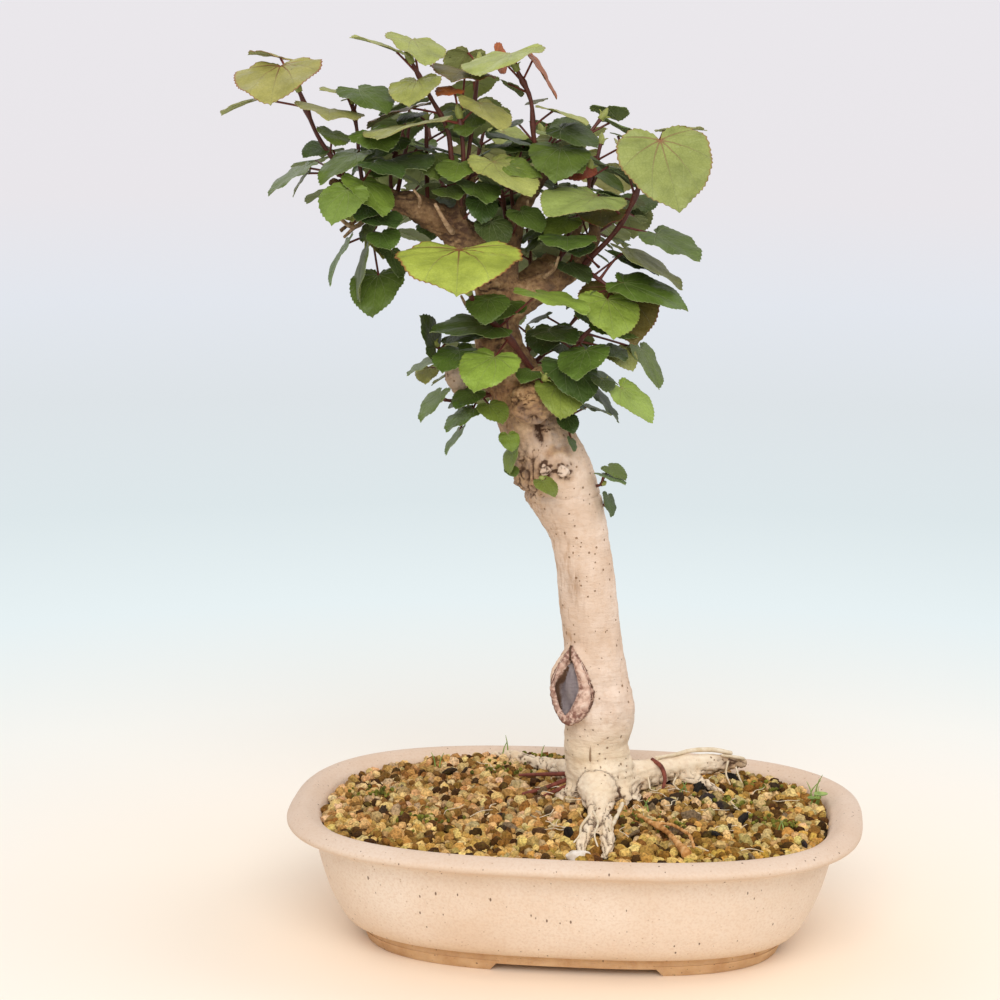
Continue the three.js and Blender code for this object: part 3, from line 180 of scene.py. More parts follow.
def specks(tree, place, spacing_mm, radius_mm):
    """Round specks of about radius_mm, some larger and some missing, spacing_mm apart."""
    cells = add(tree, "TexVoronoi", Vector=place, Scale=1000 / spacing_mm).node
    pick = add(tree, "SeparateColor", cells.outputs["Color"])
    reach = add(tree, "Math.MULTIPLY", pick, radius_mm / spacing_mm)
    inner = add(tree, "Math.MULTIPLY", reach, 0.6)
    return add(tree, "MapRange.SMOOTHSTEP", cells.outputs["Distance"], reach, inner)


def soft_patches(tree, place, size_mm, start, end):
    """A mask of cloudy patches about size_mm across: 0 where the noise is at start, 1 where it is at end."""
    noise_value = add(tree, "TexNoise", Vector=place, Scale=1000 / size_mm, Detail=3)
    return add(tree, "MapRange.SMOOTHSTEP", noise_value, start, end)


def mottled(tree, place, size_mm, stops):
    """A colour that wanders between the stops in clouds about size_mm across."""
    return add(
        tree, "ValToRGB", add(tree, "TexNoise", Vector=place, Scale=1000 / size_mm, Detail=3), stops=stops
    )


def tinted(tree, colour, mask, strength, tint):
    """The colour with a tint over it where the mask is, at most as strong as strength."""
    return add(tree, "MixRGB", add(tree, "Math.MULTIPLY", mask, strength), colour, tint)


def cover(tree, surface, colour, height, depth_mm, strength=1.0):
    """Gives a material its colour and its fine relief, depth_mm deep."""
    bump = add(tree, "Bump", Height=height, Distance=depth_mm * MM, Strength=strength, give="Normal")
    tree.links.new(colour, surface.inputs["Base Color"])
    tree.links.new(bump, surface.inputs["Normal"])


profile = curve_through([np.array(row, float) for row in POT_PROFILE], 4)
bpy.ops.object.select_all(action="DESELECT")
bpy.ops.mesh.primitive_circle_add(vertices=POT_POINTS, radius=0.1, fill_type="NGON", location=(0, 0, 0))
pot = bpy.context.object
pot.name = "stoneware_pot"
for k, vertex in enumerate(pot.data.vertices):
    x, y = oblong(profile[0][0], 2 * math.pi * (k + 0.5) / POT_POINTS)
    vertex.co = placed((x, y, profile[0][1]))
bpy.ops.object.mode_set(mode="EDIT")
bpy.ops.mesh.select_all(action="SELECT")
for (inset, z), (next_inset, next_z) in zip(profile, profile[1:]):
    bpy.ops.mesh.extrude_region_move(TRANSFORM_OT_translate={"value": (0, 0, (next_z - z) * MM)})
    wider = (POT_HALF_LENGTH - next_inset) / (POT_HALF_LENGTH - inset)
    deeper = (POT_HALF_DEPTH - next_inset) / (POT_HALF_DEPTH - inset)
    bpy.ops.transform.resize(value=(wider, deeper, 1), center_override=POT_MIDDLE)
bpy.ops.mesh.select_all(action="SELECT")
bpy.ops.mesh.normals_make_consistent(inside=False)
bpy.ops.object.mode_set(mode="OBJECT")

# Four feet, each an arc of the foot band between the front gap and the end gap, with slanting ends.
points, faces = [], []
for mirror_x, mirror_y in ((1, 1), (-1, 1), (-1, -1), (1, -1)):
    start = len(points)
    steps = 30
    for step in range(steps + 1):
        for inset, z in FOOT_SECTION:
            a, b = POT_HALF_LENGTH - inset, POT_HALF_DEPTH - inset
            slant = FOOT_SLANT * (1 - z / 3.5)
            low_turn = math.asin(((FOOT_END_GAP + slant) / b) ** (POT_SQUARENESS / 2))
            front_gap = FOOT_FRONT_GAP + (mirror_x * FOOT_FRONT_SHIFT if mirror_y < 0 else 0)
            high_turn = math.acos(((front_gap + slant) / a) ** (POT_SQUARENESS / 2))
            x, y = oblong(inset, low_turn + (high_turn - low_turn) * step / steps)
            points.append((mirror_x * x, mirror_y * y, z))
    count = len(FOOT_SECTION)
    for step in range(steps):
        for i in range(count):
            j = (i + 1) % count
            low = start + step * count
            faces.append((low + i, low + j, low + count + j, low + count + i))
    faces.append(tuple(start + i for i in range(count)))
    faces.append(tuple(start + steps * count + count - 1 - i for i in range(count)))
feet = new_piece("stoneware_feet", points, faces)
only(feet)
bpy.ops.object.mode_set(mode="EDIT")
bpy.ops.mesh.select_all(action="SELECT")
bpy.ops.mesh.normals_make_consistent(inside=False)
bpy.ops.object.mode_set(mode="OBJECT")
for end in (-1, 1):
    bpy.ops.object.select_all(action="DESELECT")
    bpy.ops.mesh.primitive_cylinder_add(
        vertices=32,
        radius=DRAIN_HOLE["radius"] * MM,
        depth=0.03,
        location=placed((end * DRAIN_HOLE["offset"], 0, POT_FLOOR - 3)),
    )
    punch = bpy.context.object
    apply_modifier(pot, "BOOLEAN", object=punch, operation="DIFFERENCE", solver="EXACT")
    bpy.data.objects.remove(punch)
apply_modifier(pot, "BOOLEAN", object=feet, operation="UNION", solver="EXACT")
bpy.data.objects.remove(feet)
only(pot)
bpy.ops.object.shade_smooth_by_angle(angle=math.radians(40))

# Unglazed stoneware: matt, warm and pale, dusted with iron specks; the bare foot band fires to ochre.
stoneware, tree, surface = new_material("unglazed_stoneware", 0.78, 0.3)
place = add(tree, "TexCoord", give="Object")
clay = mottled(tree, place, 60, [(0.3, "e0c9b1"), (0.7, "ead9c6")])
height = add(tree, "SeparateXYZ", place, give="Z")
uneven = add(tree, "Math.MULTIPLY", add(tree, "TexNoise", Vector=place, Scale=1000 / 9, Detail=3), 1.4 * MM)
foot_line = add(tree, "Math.ADD", height, uneven)
foot_share = add(tree, "MapRange.SMOOTHSTEP", foot_line, POT_MIDDLE.z + 13.4 * MM, POT_MIDDLE.z + 12.0 * MM)
ochre = mottled(tree, place, 12, [(0.3, "c0966a"), (0.7, "dab88c")])
rim_share = add(tree, "MapRange.SMOOTHSTEP", height, POT_MIDDLE.z + 66 * MM, POT_MIDDLE.z + 74 * MM)
clay = tinted(tree, clay, rim_share, 0.4, "cfb095")
stain = add(tree, "MapRange.SMOOTHSTEP", foot_line, POT_MIDDLE.z + 26 * MM, POT_MIDDLE.z + 12 * MM)
clay = tinted(tree, clay, stain, 0.35, "d6b78c")
colour = add(tree, "MixRGB", foot_share, clay, ochre)
sandy = soft_patches(tree, place, 1.6, 0.42, 0.68)
colour = tinted(tree, colour, sandy, 0.3, "cfae90")
fine_specks = add(tree, "Math.MULTIPLY", specks(tree, place, 3.4, 0.7), 0.5)
colour = add(tree, "MixRGB", fine_specks, colour, "a58362")
upright = add(tree, "Mapping", Vector=place, Scale=(1, 1, 0.4))
coarse_specks = add(tree, "Math.MULTIPLY", specks(tree, upright, 4.8, 0.75), 0.85)
colour = add(tree, "MixRGB", coarse_specks, colour, "5e432e")
foot_specks = add(
    tree, "Math.MULTIPLY", specks(tree, place, 5, 0.9), add(tree, "Math.MULTIPLY", foot_share, 0.7)
)
colour = add(tree, "MixRGB", foot_specks, colour, "5a4130")
pits = add(
    tree, "Math.SUBTRACT", add(tree, "TexNoise", Vector=place, Scale=1000 / 1.3, Detail=3),
    add(tree, "Math.MULTIPLY", coarse_specks, 0.6),
)
cover(
    tree, surface, colour,
    add(tree, "Math.ADD", pits, add(tree, "TexNoise", Vector=place, Scale=1000 / 8, Detail=3)), 0.5, 0.7,
)
pot.data.materials.clear()
pot.data.materials.append(stoneware)
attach(pot, "root")
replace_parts(pot, "pot")

# The drain screens: square sheets of mesh, moulded in one piece from plastic and laid over the two drain
# holes so that the soil stays in. They lie loose on the pot's floor, hidden under the soil.


def mottled_material(name, gloss, stops, patch_mm, bump_mm, depth_mm, strength=1.0):
    """A material that wanders between the stops in patches. Gloss is its roughness and its specular."""
    material, tree, surface = new_material(name, *gloss)
    place = add(tree, "TexCoord", give="Object")
    bumps = add(tree, "TexNoise", Vector=place, Scale=1000 / bump_mm, Detail=3)
    cover(tree, surface, mottled(tree, place, patch_mm, stops), bumps, depth_mm, strength)
    return material


# Moulded polyethylene: a dull, near-black green that looks soft and slightly waxy.
screen_plastic = mottled_material(
    "moulded_screen_plastic", (0.55, 0.4), [(0.35, "242623"), (0.65, "34372f")], patch_mm=6, bump_mm=0.8,
    depth_mm=0.1, strength=0.4,
)
for name in ("drain_screen_left", "drain_screen_right"):
    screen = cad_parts[name]
    screen.data.materials.clear()
    screen.data.materials.append(screen_plastic)

# The tree: trunk, boughs, cut stubs and surface roots, grown as one. The bark is thin, pale and smooth,
# wrinkled at the base, with cracked knots half-way up and a healed almond wound low on the front.
# Each limb: x, y, z and radius from its thick end to its thin end. The limbs are fused on a fine grid.
LIMBS = {
    "trunk": [
        (17, 15, 52, 24), (16, 16, 78, 26), (14, 15, 98, 23), (11, 14, 118, 20.8), (13, 13, 134, 21.5),
        (12, 12, 150, 21), (9, 10, 180, 18.8), (6, 8, 205, 18.3), (2, 5, 238, 18), (-2, 3, 260, 18.4),
        (-7, 1, 273, 21), (-14, -1, 288, 23.5), (-20, -3, 301, 23.5), (-27, -5, 318, 21.5),
        (-34, -5, 335, 21), (-43, -6, 353, 18.2), (-51, -5, 371, 15.5), (-54, -5, 386, 14.3),
        (-53, -5, 402, 14.5), (-57, -7, 420, 13.8), (-66, -9, 433, 13), (-78, -14, 444, 11.5),
        (-95, -19, 455, 9.6), (-114, -23, 463, 7.8), (-134, -23, 462, 5.8), (-145, -22, 471, 4),
        (-154, -23, 473, 2.4),
    ],
    "scar_swelling": [
        (5, 4, 134, 7), (0, 0, 148, 11.5), (-2, -1, 163, 13), (0, 0, 177, 11), (4, 3, 190, 7)
    ],
    "burl": [(-22, 0, 290, 16), (-34, -9, 296, 12), (-39, -12, 298, 7)],
    "burl_low": [(-12, 0, 276, 14), (-24, -5, 282, 9), (-28, -7, 283, 5)],
    "knot_left": [(-20, -14, 299, 9), (-21, -24, 300, 6.8), (-21, -26.5, 300, 5)],
    "knot_right": [(-12, -12, 299, 9), (-10.5, -23, 300, 6.8), (-10, -25.5, 300, 5.2)],
    "knob": [(-34, -6, 337, 15), (-31, -24, 343, 11.5), (-29.5, -33, 342, 14), (-29, -38, 341, 12.5)],
    "stub_left": [(-50, -7, 356, 13), (-70, -15, 357, 9.5), (-79, -19, 357, 8.5)],
    "slab": [(-71, -16, 369, 5), (-76, -20, 358, 8.5), (-72, -17, 345, 6)],
    "spur_front": [(-38, -9, 346, 11), (-26, -18, 356, 7), (-15, -20, 364, 4)],
    "bough_right": [
        (-53, -5, 394, 12), (-38, -5, 403, 10.5), (-23, -4, 411, 8.6), (-6, -1, 422, 6.6), (3, 2, 435, 5.2),
        (5, 4, 447, 4),
    ],
    "bough_up_right": [
        (-51, -1, 408, 10), (-46, 3, 434, 6.8), (-43, 4, 451, 5.6), (-32, 2, 470, 4.8), (-23, 2, 489, 4)
    ],
    "bough_upright": [(-70, -11, 436, 7), (-75, -18, 455, 5), (-74, -19, 470, 4.3), (-66, -20, 480, 3)],
    "bough_back_left": [(-54, 0, 404, 11), (-64, 22, 420, 8), (-80, 42, 436, 6), (-92, 58, 456, 3.6)],
    "bough_back_right": [(-50, 0, 398, 10), (-36, 24, 412, 7.5), (-18, 42, 428, 5.6), (-6, 52, 448, 3.4)],
    "twig_left": [(-126, -23, 460, 4), (-136, -26, 452, 2.6), (-147, -29, 444, 2)],
    "root_front": [
        (14, 2, 98, 15), (15, -14, 91.5, 11.8), (17, -30, 87, 8.6), (17, -44, 84, 6.8), (17, -56, 82, 5)
    ],
    "root_front_left": [
        (15, -36, 85.5, 6.4), (13, -54, 83.5, 5.9), (11, -70, 82, 5.4), (9.5, -84, 80, 4.6),
        (12, -95, 77, 3.2),
    ],
    "root_front_right": [
        (20, -38, 85.5, 6.2), (22.5, -56, 83.5, 5.8), (24.5, -72, 82, 5.3), (26, -86, 80, 4.4),
        (24, -97, 77, 3),
    ],
    "root_right": [
        (26, 18, 94, 14), (38, 28, 94.5, 10.5), (55, 42, 95, 8.4), (76, 56, 95, 7.2), (95, 66, 94.5, 5.8),
        (105, 70, 93.5, 4.8),
    ],
    "root_right_fork": [(60, 46, 92, 6), (78, 44, 87, 4.6), (92, 40, 81, 3)],
    "root_back": [
        (8, 26, 92, 13), (-14, 54, 89, 7.4), (-32, 74, 87.5, 5.4), (-50, 90, 87, 4.4), (-64, 101, 84.5, 3.4)
    ],
    "root_left": [(4, 10, 86, 14), (-12, 4, 79, 8)], "root_shoulder": [(24, 4, 88, 14), (38, -2, 78, 8)],
}
WOUND = {
    "x": -4, "z": 161.5, "half_height": 21.5, "half_width": 11, "front": -12.5, "hollow": 0.03, "lip": 3.2
}
GRID = 1.15
# Cracked places of the bark: middle, reach and depth of the cracks.
KNOTS = [
    ((-36, -13, 294), 15, 3.2),
    ((-40, -10, 310), 12, 2.4),
    ((-33, -38, 344), 11, 4.2),
    ((-22, -24, 326), 7, 1.2),
    ((-24, -7, 283), 11, 2.2),
    ((-79, -19, 357), 9, 1.6),
    ((-54, -16, 378), 13, 2.2),
    ((-57, -18, 412), 15, 2.2),
    ((-78, -22, 446), 16, 2.2),
    ((-112, -28, 462), 16, 1.8),
    ((96, 66, 94), 14, 2.0),
]
SHOOT_SCARS = [(-20, 300, 4.8, 1.0), (-9.5, 299.5, 5.0, 0.85)]


def ring_faces(rings, count):
    """Faces of a closed body of rings, each of count points, with a cap on both ends."""
    faces = []
    for ring in range(rings - 1):
        low = ring * count
        for i in range(count):
            j = (i + 1) % count
            faces.append((low + i, low + j, low + count + j, low + count + i))
    last = (rings - 1) * count
    return [*faces, tuple(reversed(range(count))), tuple(range(last, last + count))]


def tube(path, radii, sides):
    """Points and faces of a closed tube of round section along a path."""
    points = []
    side = None
    for k, point in enumerate(path):
        heading = path[min(k + 1, len(path) - 1)] - path[max(k - 1, 0)]
        heading = heading / (np.linalg.norm(heading) + 1e-9)
        if side is None:
            side = np.array([0.0, 0.0, 1.0]) if abs(heading[2]) < 0.9 else np.array([1.0, 0.0, 0.0])
        side = side - heading * side.dot(heading)
        side = side / np.linalg.norm(side)
        other = np.cross(heading, side)
        for i in range(sides):
            turn = 2 * math.pi * i / sides
            points.append(point + radii[k] * (math.cos(turn) * side + math.sin(turn) * other))
    return points, ring_faces(len(path), sides)


def joined(bodies):
    """Points and faces of several bodies put in one list."""
    points, faces = [], []
    for more_points, more_faces in bodies:
        start = len(points)
        points.extend(more_points)
        faces.extend(tuple(start + i for i in face) for face in more_faces)
    return points, faces


def limb_tube(line, sides=20):
    rows = curve_through([np.array(row, float) for row in line], 4)
    first = rows[0] + (rows[0] - rows[1]) / np.linalg.norm((rows[0] - rows[1])[:3]) * 0.4 * rows[0][3]
    last = rows[-1] + (rows[-1] - rows[-2]) / np.linalg.norm((rows[-1] - rows[-2])[:3]) * 0.45 * rows[-1][3]
    first[3] = 0.6 * rows[0][3]
    last[3] = 0.6 * rows[-1][3]
    rows = np.array([first, *rows, last])
    return tube(rows[:, :3], rows[:, 3], sides)


def wound_ring():
    """The rolled lips round the wound: a drop-shaped ring that follows the trunk's front, thicker below."""
    ring, reach = [], []
    for k in range(49):
        turn = 2 * math.pi * k / 48
        pinch = math.copysign(abs(math.cos(turn)) ** (1.5 if math.sin(turn) > 0 else 0.9), math.cos(turn))
        x = WOUND["x"] + WOUND["half_width"] * pinch
        z = WOUND["z"] + WOUND["half_height"] * math.sin(turn)
        y = WOUND["front"] + WOUND["hollow"] * ((x - WOUND["x"]) ** 2 + 0.3 * (z - WOUND["z"]) ** 2)
        ring.append(np.array([x, y, z]))
        reach.append(WOUND["lip"] - 0.9 * math.sin(turn) + 0.5 * math.cos(turn))
    return tube(np.array(ring), reach, 10)


def cloud(points, size, seed, stretch=(1, 1, 1)):
    """Smooth noise from -1 to 1 at each point, with lumps of about the given size."""
    scaled = points * np.array(stretch) / size + seed * 7.31
    return np.array([noise.noise(Vector(p)) for p in scaled])


def ridges(points, size, seed, stretch=(1, 1, 1)):
    """1 along winding lines, less beside them, with gaps of about the given size."""
    return 1 - np.abs(cloud(points, size, seed, stretch))


def bell(*shares):
    """A soft bump: 1 where all the shares are 0, and nearly 0 where one of them is over 2."""
    return np.exp(-sum(share**2 for share in shares))


def gentle(value, start, end):
    share = np.clip((value - start) / (end - start), 0, 1)
    return share * share * (3 - 2 * share)


def record_value(piece, name, values):
    piece.data.attributes.new(name, "FLOAT", "POINT").data.foreach_set(
        "value", np.asarray(values, np.float32)
    )


def place_of(piece):
    """The piece's points in millimetres from the pot's middle."""
    flat = np.empty(len(piece.data.vertices) * 3)
    piece.data.vertices.foreach_get("co", flat)
    return (flat.reshape(-1, 3) - np.array(POT_MIDDLE)) / MM


def normals_of(piece):
    flat = np.empty(len(piece.data.vertices) * 3)
    piece.data.vertices.foreach_get("normal", flat)
    return flat.reshape(-1, 3)


def move_to(piece, points):
    piece.data.vertices.foreach_set("co", placed(points).ravel())
    piece.data.update()


tree_piece = new_piece(
    "sea_hibiscus_wood", *joined([*(limb_tube(line) for line in LIMBS.values()), wound_ring()])
)
apply_modifier(tree_piece, "REMESH", mode="VOXEL", voxel_size=GRID * MM)
apply_modifier(tree_piece, "SMOOTH", factor=0.5, iterations=7)

wood = place_of(tree_piece)
facing = normals_of(tree_piece)
x, y, z = wood.T
burl_share = bell((x + 31) / 15, (z - 294) / 20)
crown_share = np.maximum(gentle(z, 285, 348), 0.85 * burl_share)
slab_share = np.exp(-np.sum((wood - np.array((-77, -20, 357))) ** 2, axis=1) / 13**2)
crown_share *= 1 - 0.8 * slab_share
weathered = bell((x + 14) / 10, (z - 311) / 8) + bell((x + 25) / 9, (z - 288) / 7)
crown_share = np.maximum(crown_share, 0.85 * np.clip(weathered * (1 + 0.8 * cloud(wood, 5, 27)), 0, 1))
base_share = gentle(z, 140, 92)
lower_share = bell((z - 145) / 38)
pushed = 0.9 * cloud(wood, 24, 1) + (0.45 + 0.5 * crown_share + 0.7 * lower_share) * cloud(wood, 9, 2)
pushed += 0.35 * lower_share * cloud(wood, 4, 17)
pushed += 1.1 * gentle(z, 158, 154) * gentle(z, 120, 146) * gentle(facing[:, 0], 0.1, 0.8)
# Level wrinkles: faint up the trunk, strong at its base and under the bend.
creases = ridges(wood, 3.4, 3, (0.16, 0.16, 1)) ** 5
pushed -= (0.16 + 0.65 * base_share + 0.2 * gentle(z, 250, 300)) * creases
pushed -= 0.4 * base_share * ridges(wood, 2.3, 25, (0.3, 0.3, 1)) ** 4
folds = np.sin(z / 1.5 + 2.0 * cloud(wood, 14, 4))
folds *= 0.8 * bell((z - 252) / 9) + 0.5 * bell((z - 112) / 15)
pushed += 0.3 * folds * gentle(z, 84, 96)
ring_line = z - 281 - 2.5 * cloud(wood, 12, 5)
pushed -= 1.4 * bell(ring_line / 0.9) * gentle(y, 12, 2)
# The roots peel lengthwise, and an arched fold frames the place where the front root leaves the trunk.
root_share = gentle(z, 101, 90)
peel = ridges(wood, 4.2, 6, (1, 0.22, 0.8)) ** 5
pushed += root_share * (0.7 * cloud(wood, 6, 16, (1, 0.3, 1)) - 1.7 * peel)
arch = np.hypot((x - 14) / 15, (z - 90) / (18 + 2 * cloud(wood, 9, 13)))
arch_front = gentle(-facing[:, 1], 0.0, 0.4) * gentle(z, 88, 94) * gentle(y, 4, -2)
arch_line = arch_front * bell((arch - 1) / 0.055)
pushed += arch_front * 0.9 * gentle(arch, 1.0, 0.85) - 1.1 * arch_line
# The crack value marks grooves, cracks, scars and flakes to be painted dark: partly the dark of opened bark,
# partly painted shade in the crevices.
crack_and_crevice_shade = 0.5 * arch_line + 0.65 * root_share * peel
aged_share = crown_share.copy()
for middle, reach, depth in KNOTS:
    near = np.exp(-(np.sum((wood - np.array(middle)) ** 2, axis=1) / reach**2) ** 1.5)
    fibres = cloud(wood, 0.4 * reach, 8, (0.35, 0.45, 1.2)) + 0.4 * cloud(wood, 1.9, 9, (0.35, 0.35, 1))
    lines = (1 - np.abs(np.clip(fibres, -1, 1))) ** 6
    pushed += near * (1.9 * cloud(wood, 6.5, 7) + 0.8 * cloud(wood, 2.9, 20) - depth * lines)
    crack_and_crevice_shade = np.maximum(crack_and_crevice_shade, near * np.clip(lines, 0, 1))
    aged_share = np.maximum(aged_share, 0.8 * near * (middle[0] > -75))
# Two round scars of cut shoots sit side by side on the bend, each a pale swirl within a cracked rim.
on_front = gentle(-facing[:, 1], 0.0, 0.5)
for scar_x, scar_z, reach, dark in SHOOT_SCARS:
    away = np.hypot(x - scar_x, z - scar_z) / reach + 0.4 * cloud(wood, 3.6, 18)
    rim = on_front * bell((away - 1) / 0.28)
    swirl = ridges(wood, 3.0, 24) ** 5
    pushed += on_front * gentle(away, 1.0, 0.6) * (0.9 + 1.2 * cloud(wood, 2.4, 21) - 1.3 * swirl) - 1.4 * rim
    face = on_front * gentle(away, 1.0, 0.9)
    crack_and_crevice_shade = np.maximum(
        crack_and_crevice_shade,
        np.maximum(dark * rim * np.clip(0.8 + 1.5 * cloud(wood, 3, 22), 0, 1), 0.8 * dark * face * swirl),
    )
    aged_share = np.maximum(
        aged_share * (1 - 0.6 * face), 0.6 * dark * on_front * gentle(away, 2.0, 1.1) * (away > 0.9)
    )
# Bark flakes off lengthwise on the burl's left, and a slit opens below the knob.
flakes = ridges(wood, 4.5, 19, (1, 1, 0.4)) ** 6
pushed += burl_share * (1.3 * cloud(wood, 3.6, 23) - 2.0 * flakes)
slit_half = 1.7 + 2.0 * gentle(z, 314, 334)
slit_off = x + 24.5 + 0.2 * (z - 324) + 1.6 * cloud(wood, 4.5, 26)
slit = on_front * np.exp(-((slit_off / slit_half) ** 4) - ((z - 325.5) / (11 + 3 * cloud(wood, 3, 28))) ** 4)
pushed -= 5 * slit - 1.5 * on_front * np.exp(-(((slit_off - 5.5) / 1.6) ** 2) - ((z - 322) / 9) ** 4)
crack_and_crevice_shade = np.maximum(crack_and_crevice_shade, np.maximum(burl_share * flakes, slit * np.clip(0.75 + cloud(wood, 2.5, 29), 0, 1)))
# The crown's wood is rough: pitted, scarred and browner than the trunk.
scars = ridges(wood, 6, 12) ** 4
pushed += crown_share * (0.5 * cloud(wood, 3.4, 14) - 0.7 * scars)
crack_and_crevice_shade = np.maximum(crack_and_crevice_shade, 0.5 * crown_share * scars**2)

# The wound: a drop of grey dead wood, sunk between two rolled, wrinkled lips with cracked outer edges.
dx = x - WOUND["x"]
dz = z - WOUND["z"]
tall = dz / 24.5
above = np.clip((tall + 0.2) / 1.2, 0, 1)
below = np.clip((-0.2 - tall) / 0.8, 0, 1)
drop = np.where(tall > -0.2, (1 - above**1.5) ** 0.9, np.sqrt(1 - below**2)) + 0.01
outer = np.where(dx > 0, dx / 15.0, -dx / 14.0) / drop
hollow_tall = (dz + 1.5) / 18
hollow_wide = 6.8 * (1 - np.clip(np.abs(hollow_tall), 0, 1) ** 1.5) + 0.01
hollow_share = np.abs(dx + 1.4 - 0.07 * dz + 0.8 * cloud(wood, 7, 15)) / hollow_wide
hollow_share = np.where(np.abs(hollow_tall) < 1, np.minimum(hollow_share, 3), 3)
front = gentle(-facing[:, 1], -0.35, 0.1) * gentle(y, 4, -2) * (np.abs(tall) < 1.05)
inside = front * gentle(hollow_share, 1.1, 0.8)
lips = front * gentle(outer, 1.06, 0.94) * (1 - inside)
edge_line = front * bell((outer - 1.0) / 0.08)
apex_line = front * bell((dx + 0.2) / 0.9) * gentle(dz, 13, 17) * gentle(dz, 26, 23)
# The hollow's left border is sunk in and, through the crack value, painted dark as the shadow that the left
# lip casts into the hollow.
left_edge = front * bell((hollow_share - 1) / 0.25) * gentle(-dx, -1, 3)
roll = np.clip(np.minimum(1 - outer, 0.4 * (hollow_share - 1)), 0, 0.5) * 2
lip_creases = ridges(wood, 2.2, 10, (1, 1, 0.7)) ** 5
pushed = pushed * (1 - 0.6 * inside) - 3.8 * inside + lips * (2.4 * roll - 0.9 * lip_creases)
lip_edge = np.maximum(gentle(hollow_share, 1.75, 1.1), gentle(outer, 0.72, 0.95))
lip_edge = lips * np.maximum(lip_edge, np.maximum(0.9 * gentle(np.abs(dz), 11, 18), 0.7 * gentle(-dx, 5, 9)))
pushed += -0.9 * edge_line - 1.3 * apex_line - 1.2 * left_edge + 0.45 * inside * cloud(
    wood, 4, 11, (1, 1, 0.4)
)
move_to(tree_piece, wood + facing * pushed[:, None])
record_value(tree_piece, "front", front)
record_value(tree_piece, "outer", np.minimum(outer, 3))
record_value(tree_piece, "hollow", hollow_share)
record_value(tree_piece, "lip_edge", lip_edge)
record_value(tree_piece, "crack_and_crevice_shade", np.maximum(crack_and_crevice_shade, np.maximum(apex_line, 0.8 * left_edge)))
record_value(tree_piece, "crown", aged_share)
# Painted shade: the boughs under the leaves, from 395 mm up, are marked to be darkened.
record_value(tree_piece, "inner", gentle(z, 395, 445))
record_value(tree_piece, "root", gentle(z, 150, 108))
# Painted shade: the trunk's left-facing side above 120 mm is marked to be browner and more streaked; the real
# brown stain on the front joins the same value.
shade_side = gentle(-facing[:, 0], -0.15, 0.8) * gentle(z, 120, 150)
brown_stain = on_front * bell((x + 2) / 5, (z - 226) / 11)
record_value(tree_piece, "shade_side", np.maximum(shade_side, brown_stain))
record_value(tree_piece, "stained", brown_stain)
only(tree_piece)
bpy.ops.object.shade_smooth()

# Bark: a dry pale skin, streaked upwards and dotted with brown pores, browner and rougher in the crown.
# The left-facing side of the trunk, the boughs under the leaves and the grooves also get painted shade.
bark, tree, surface = new_material("smooth_pale_bark", 0.78, 0.22)
place = add(tree, "TexCoord", give="Object")
upright = add(tree, "Mapping", Vector=place, Scale=(1, 1, 0.14))
level = add(tree, "Mapping", Vector=place, Scale=(0.25, 0.25, 1))
value = {
    name: add(tree, "Attribute", give="Fac", attribute_name=name) for name in (
        "front", "outer", "hollow", "lip_edge", "crack_and_crevice_shade", "crown", "inner", "root", "shade_side", "stained"
    )
}
skin = mottled(tree, place, 26, [(0.3, "d9bda4"), (0.5, "e3cab4"), (0.7, "ecd7c4")])
yellowish = mottled(tree, place, 15, [(0.3, "e7d1ac"), (0.7, "f6e7cb")])
skin = tinted(tree, skin, value["root"], 0.8, yellowish)
# The streaks are real but grow stronger on the left-facing side, where they add painted shade; that side also
# gets a brown painted-shade tint.
streaks = soft_patches(tree, upright, 2.4, 0.5, 0.74)
streak_share = add(tree, "Math.MULTIPLY_ADD", value["shade_side"], 0.7, 0.08)
skin = tinted(tree, skin, streaks, streak_share, "ab8463")
skin = tinted(tree, skin, value["shade_side"], 0.22, "c29a74")
# Patches painted darker on the left-facing side as shade, and the real brown stain on the front.
stains_and_side_shade = add(tree, "Math.MULTIPLY", soft_patches(tree, upright, 9, 0.5, 0.7), 0.4)
blotch = add(tree, "Math.MULTIPLY", value["stained"], soft_patches(tree, upright, 3, 0.3, 0.6))
stains_and_side_shade = add(tree, "Math.MAXIMUM", stains_and_side_shade, add(tree, "Math.MULTIPLY", blotch, 0.8))
skin = tinted(tree, skin, stains_and_side_shade, value["shade_side"], "8e6a4a")
rings = soft_patches(tree, level, 1.7, 0.54, 0.74)
skin = tinted(tree, skin, rings, 0.16, "bd9c7c")
mottle = soft_patches(tree, place, 3.4, 0.46, 0.72)
skin = tinted(tree, skin, mottle, 0.3, "cba684")
patches = add(
    tree, "Math.MULTIPLY_ADD", add(tree, "TexNoise", Vector=place, Scale=1000 / 2.6, Detail=3), 0.4,
    add(tree, "Math.MULTIPLY", add(tree, "TexNoise", Vector=place, Scale=1000 / 8, Detail=3), 0.6),
)
aged = add(
    tree, "ValToRGB", patches,
    stops=[(0.32, "482c12"), (0.44, "79522a"), (0.55, "a07848"), (0.68, "c8a274")],
)
rusty = soft_patches(tree, place, 16, 0.56, 0.72)
aged = tinted(tree, aged, rusty, 0.5, "8f5a34")
skin = tinted(tree, skin, value["crown"], 0.9, aged)
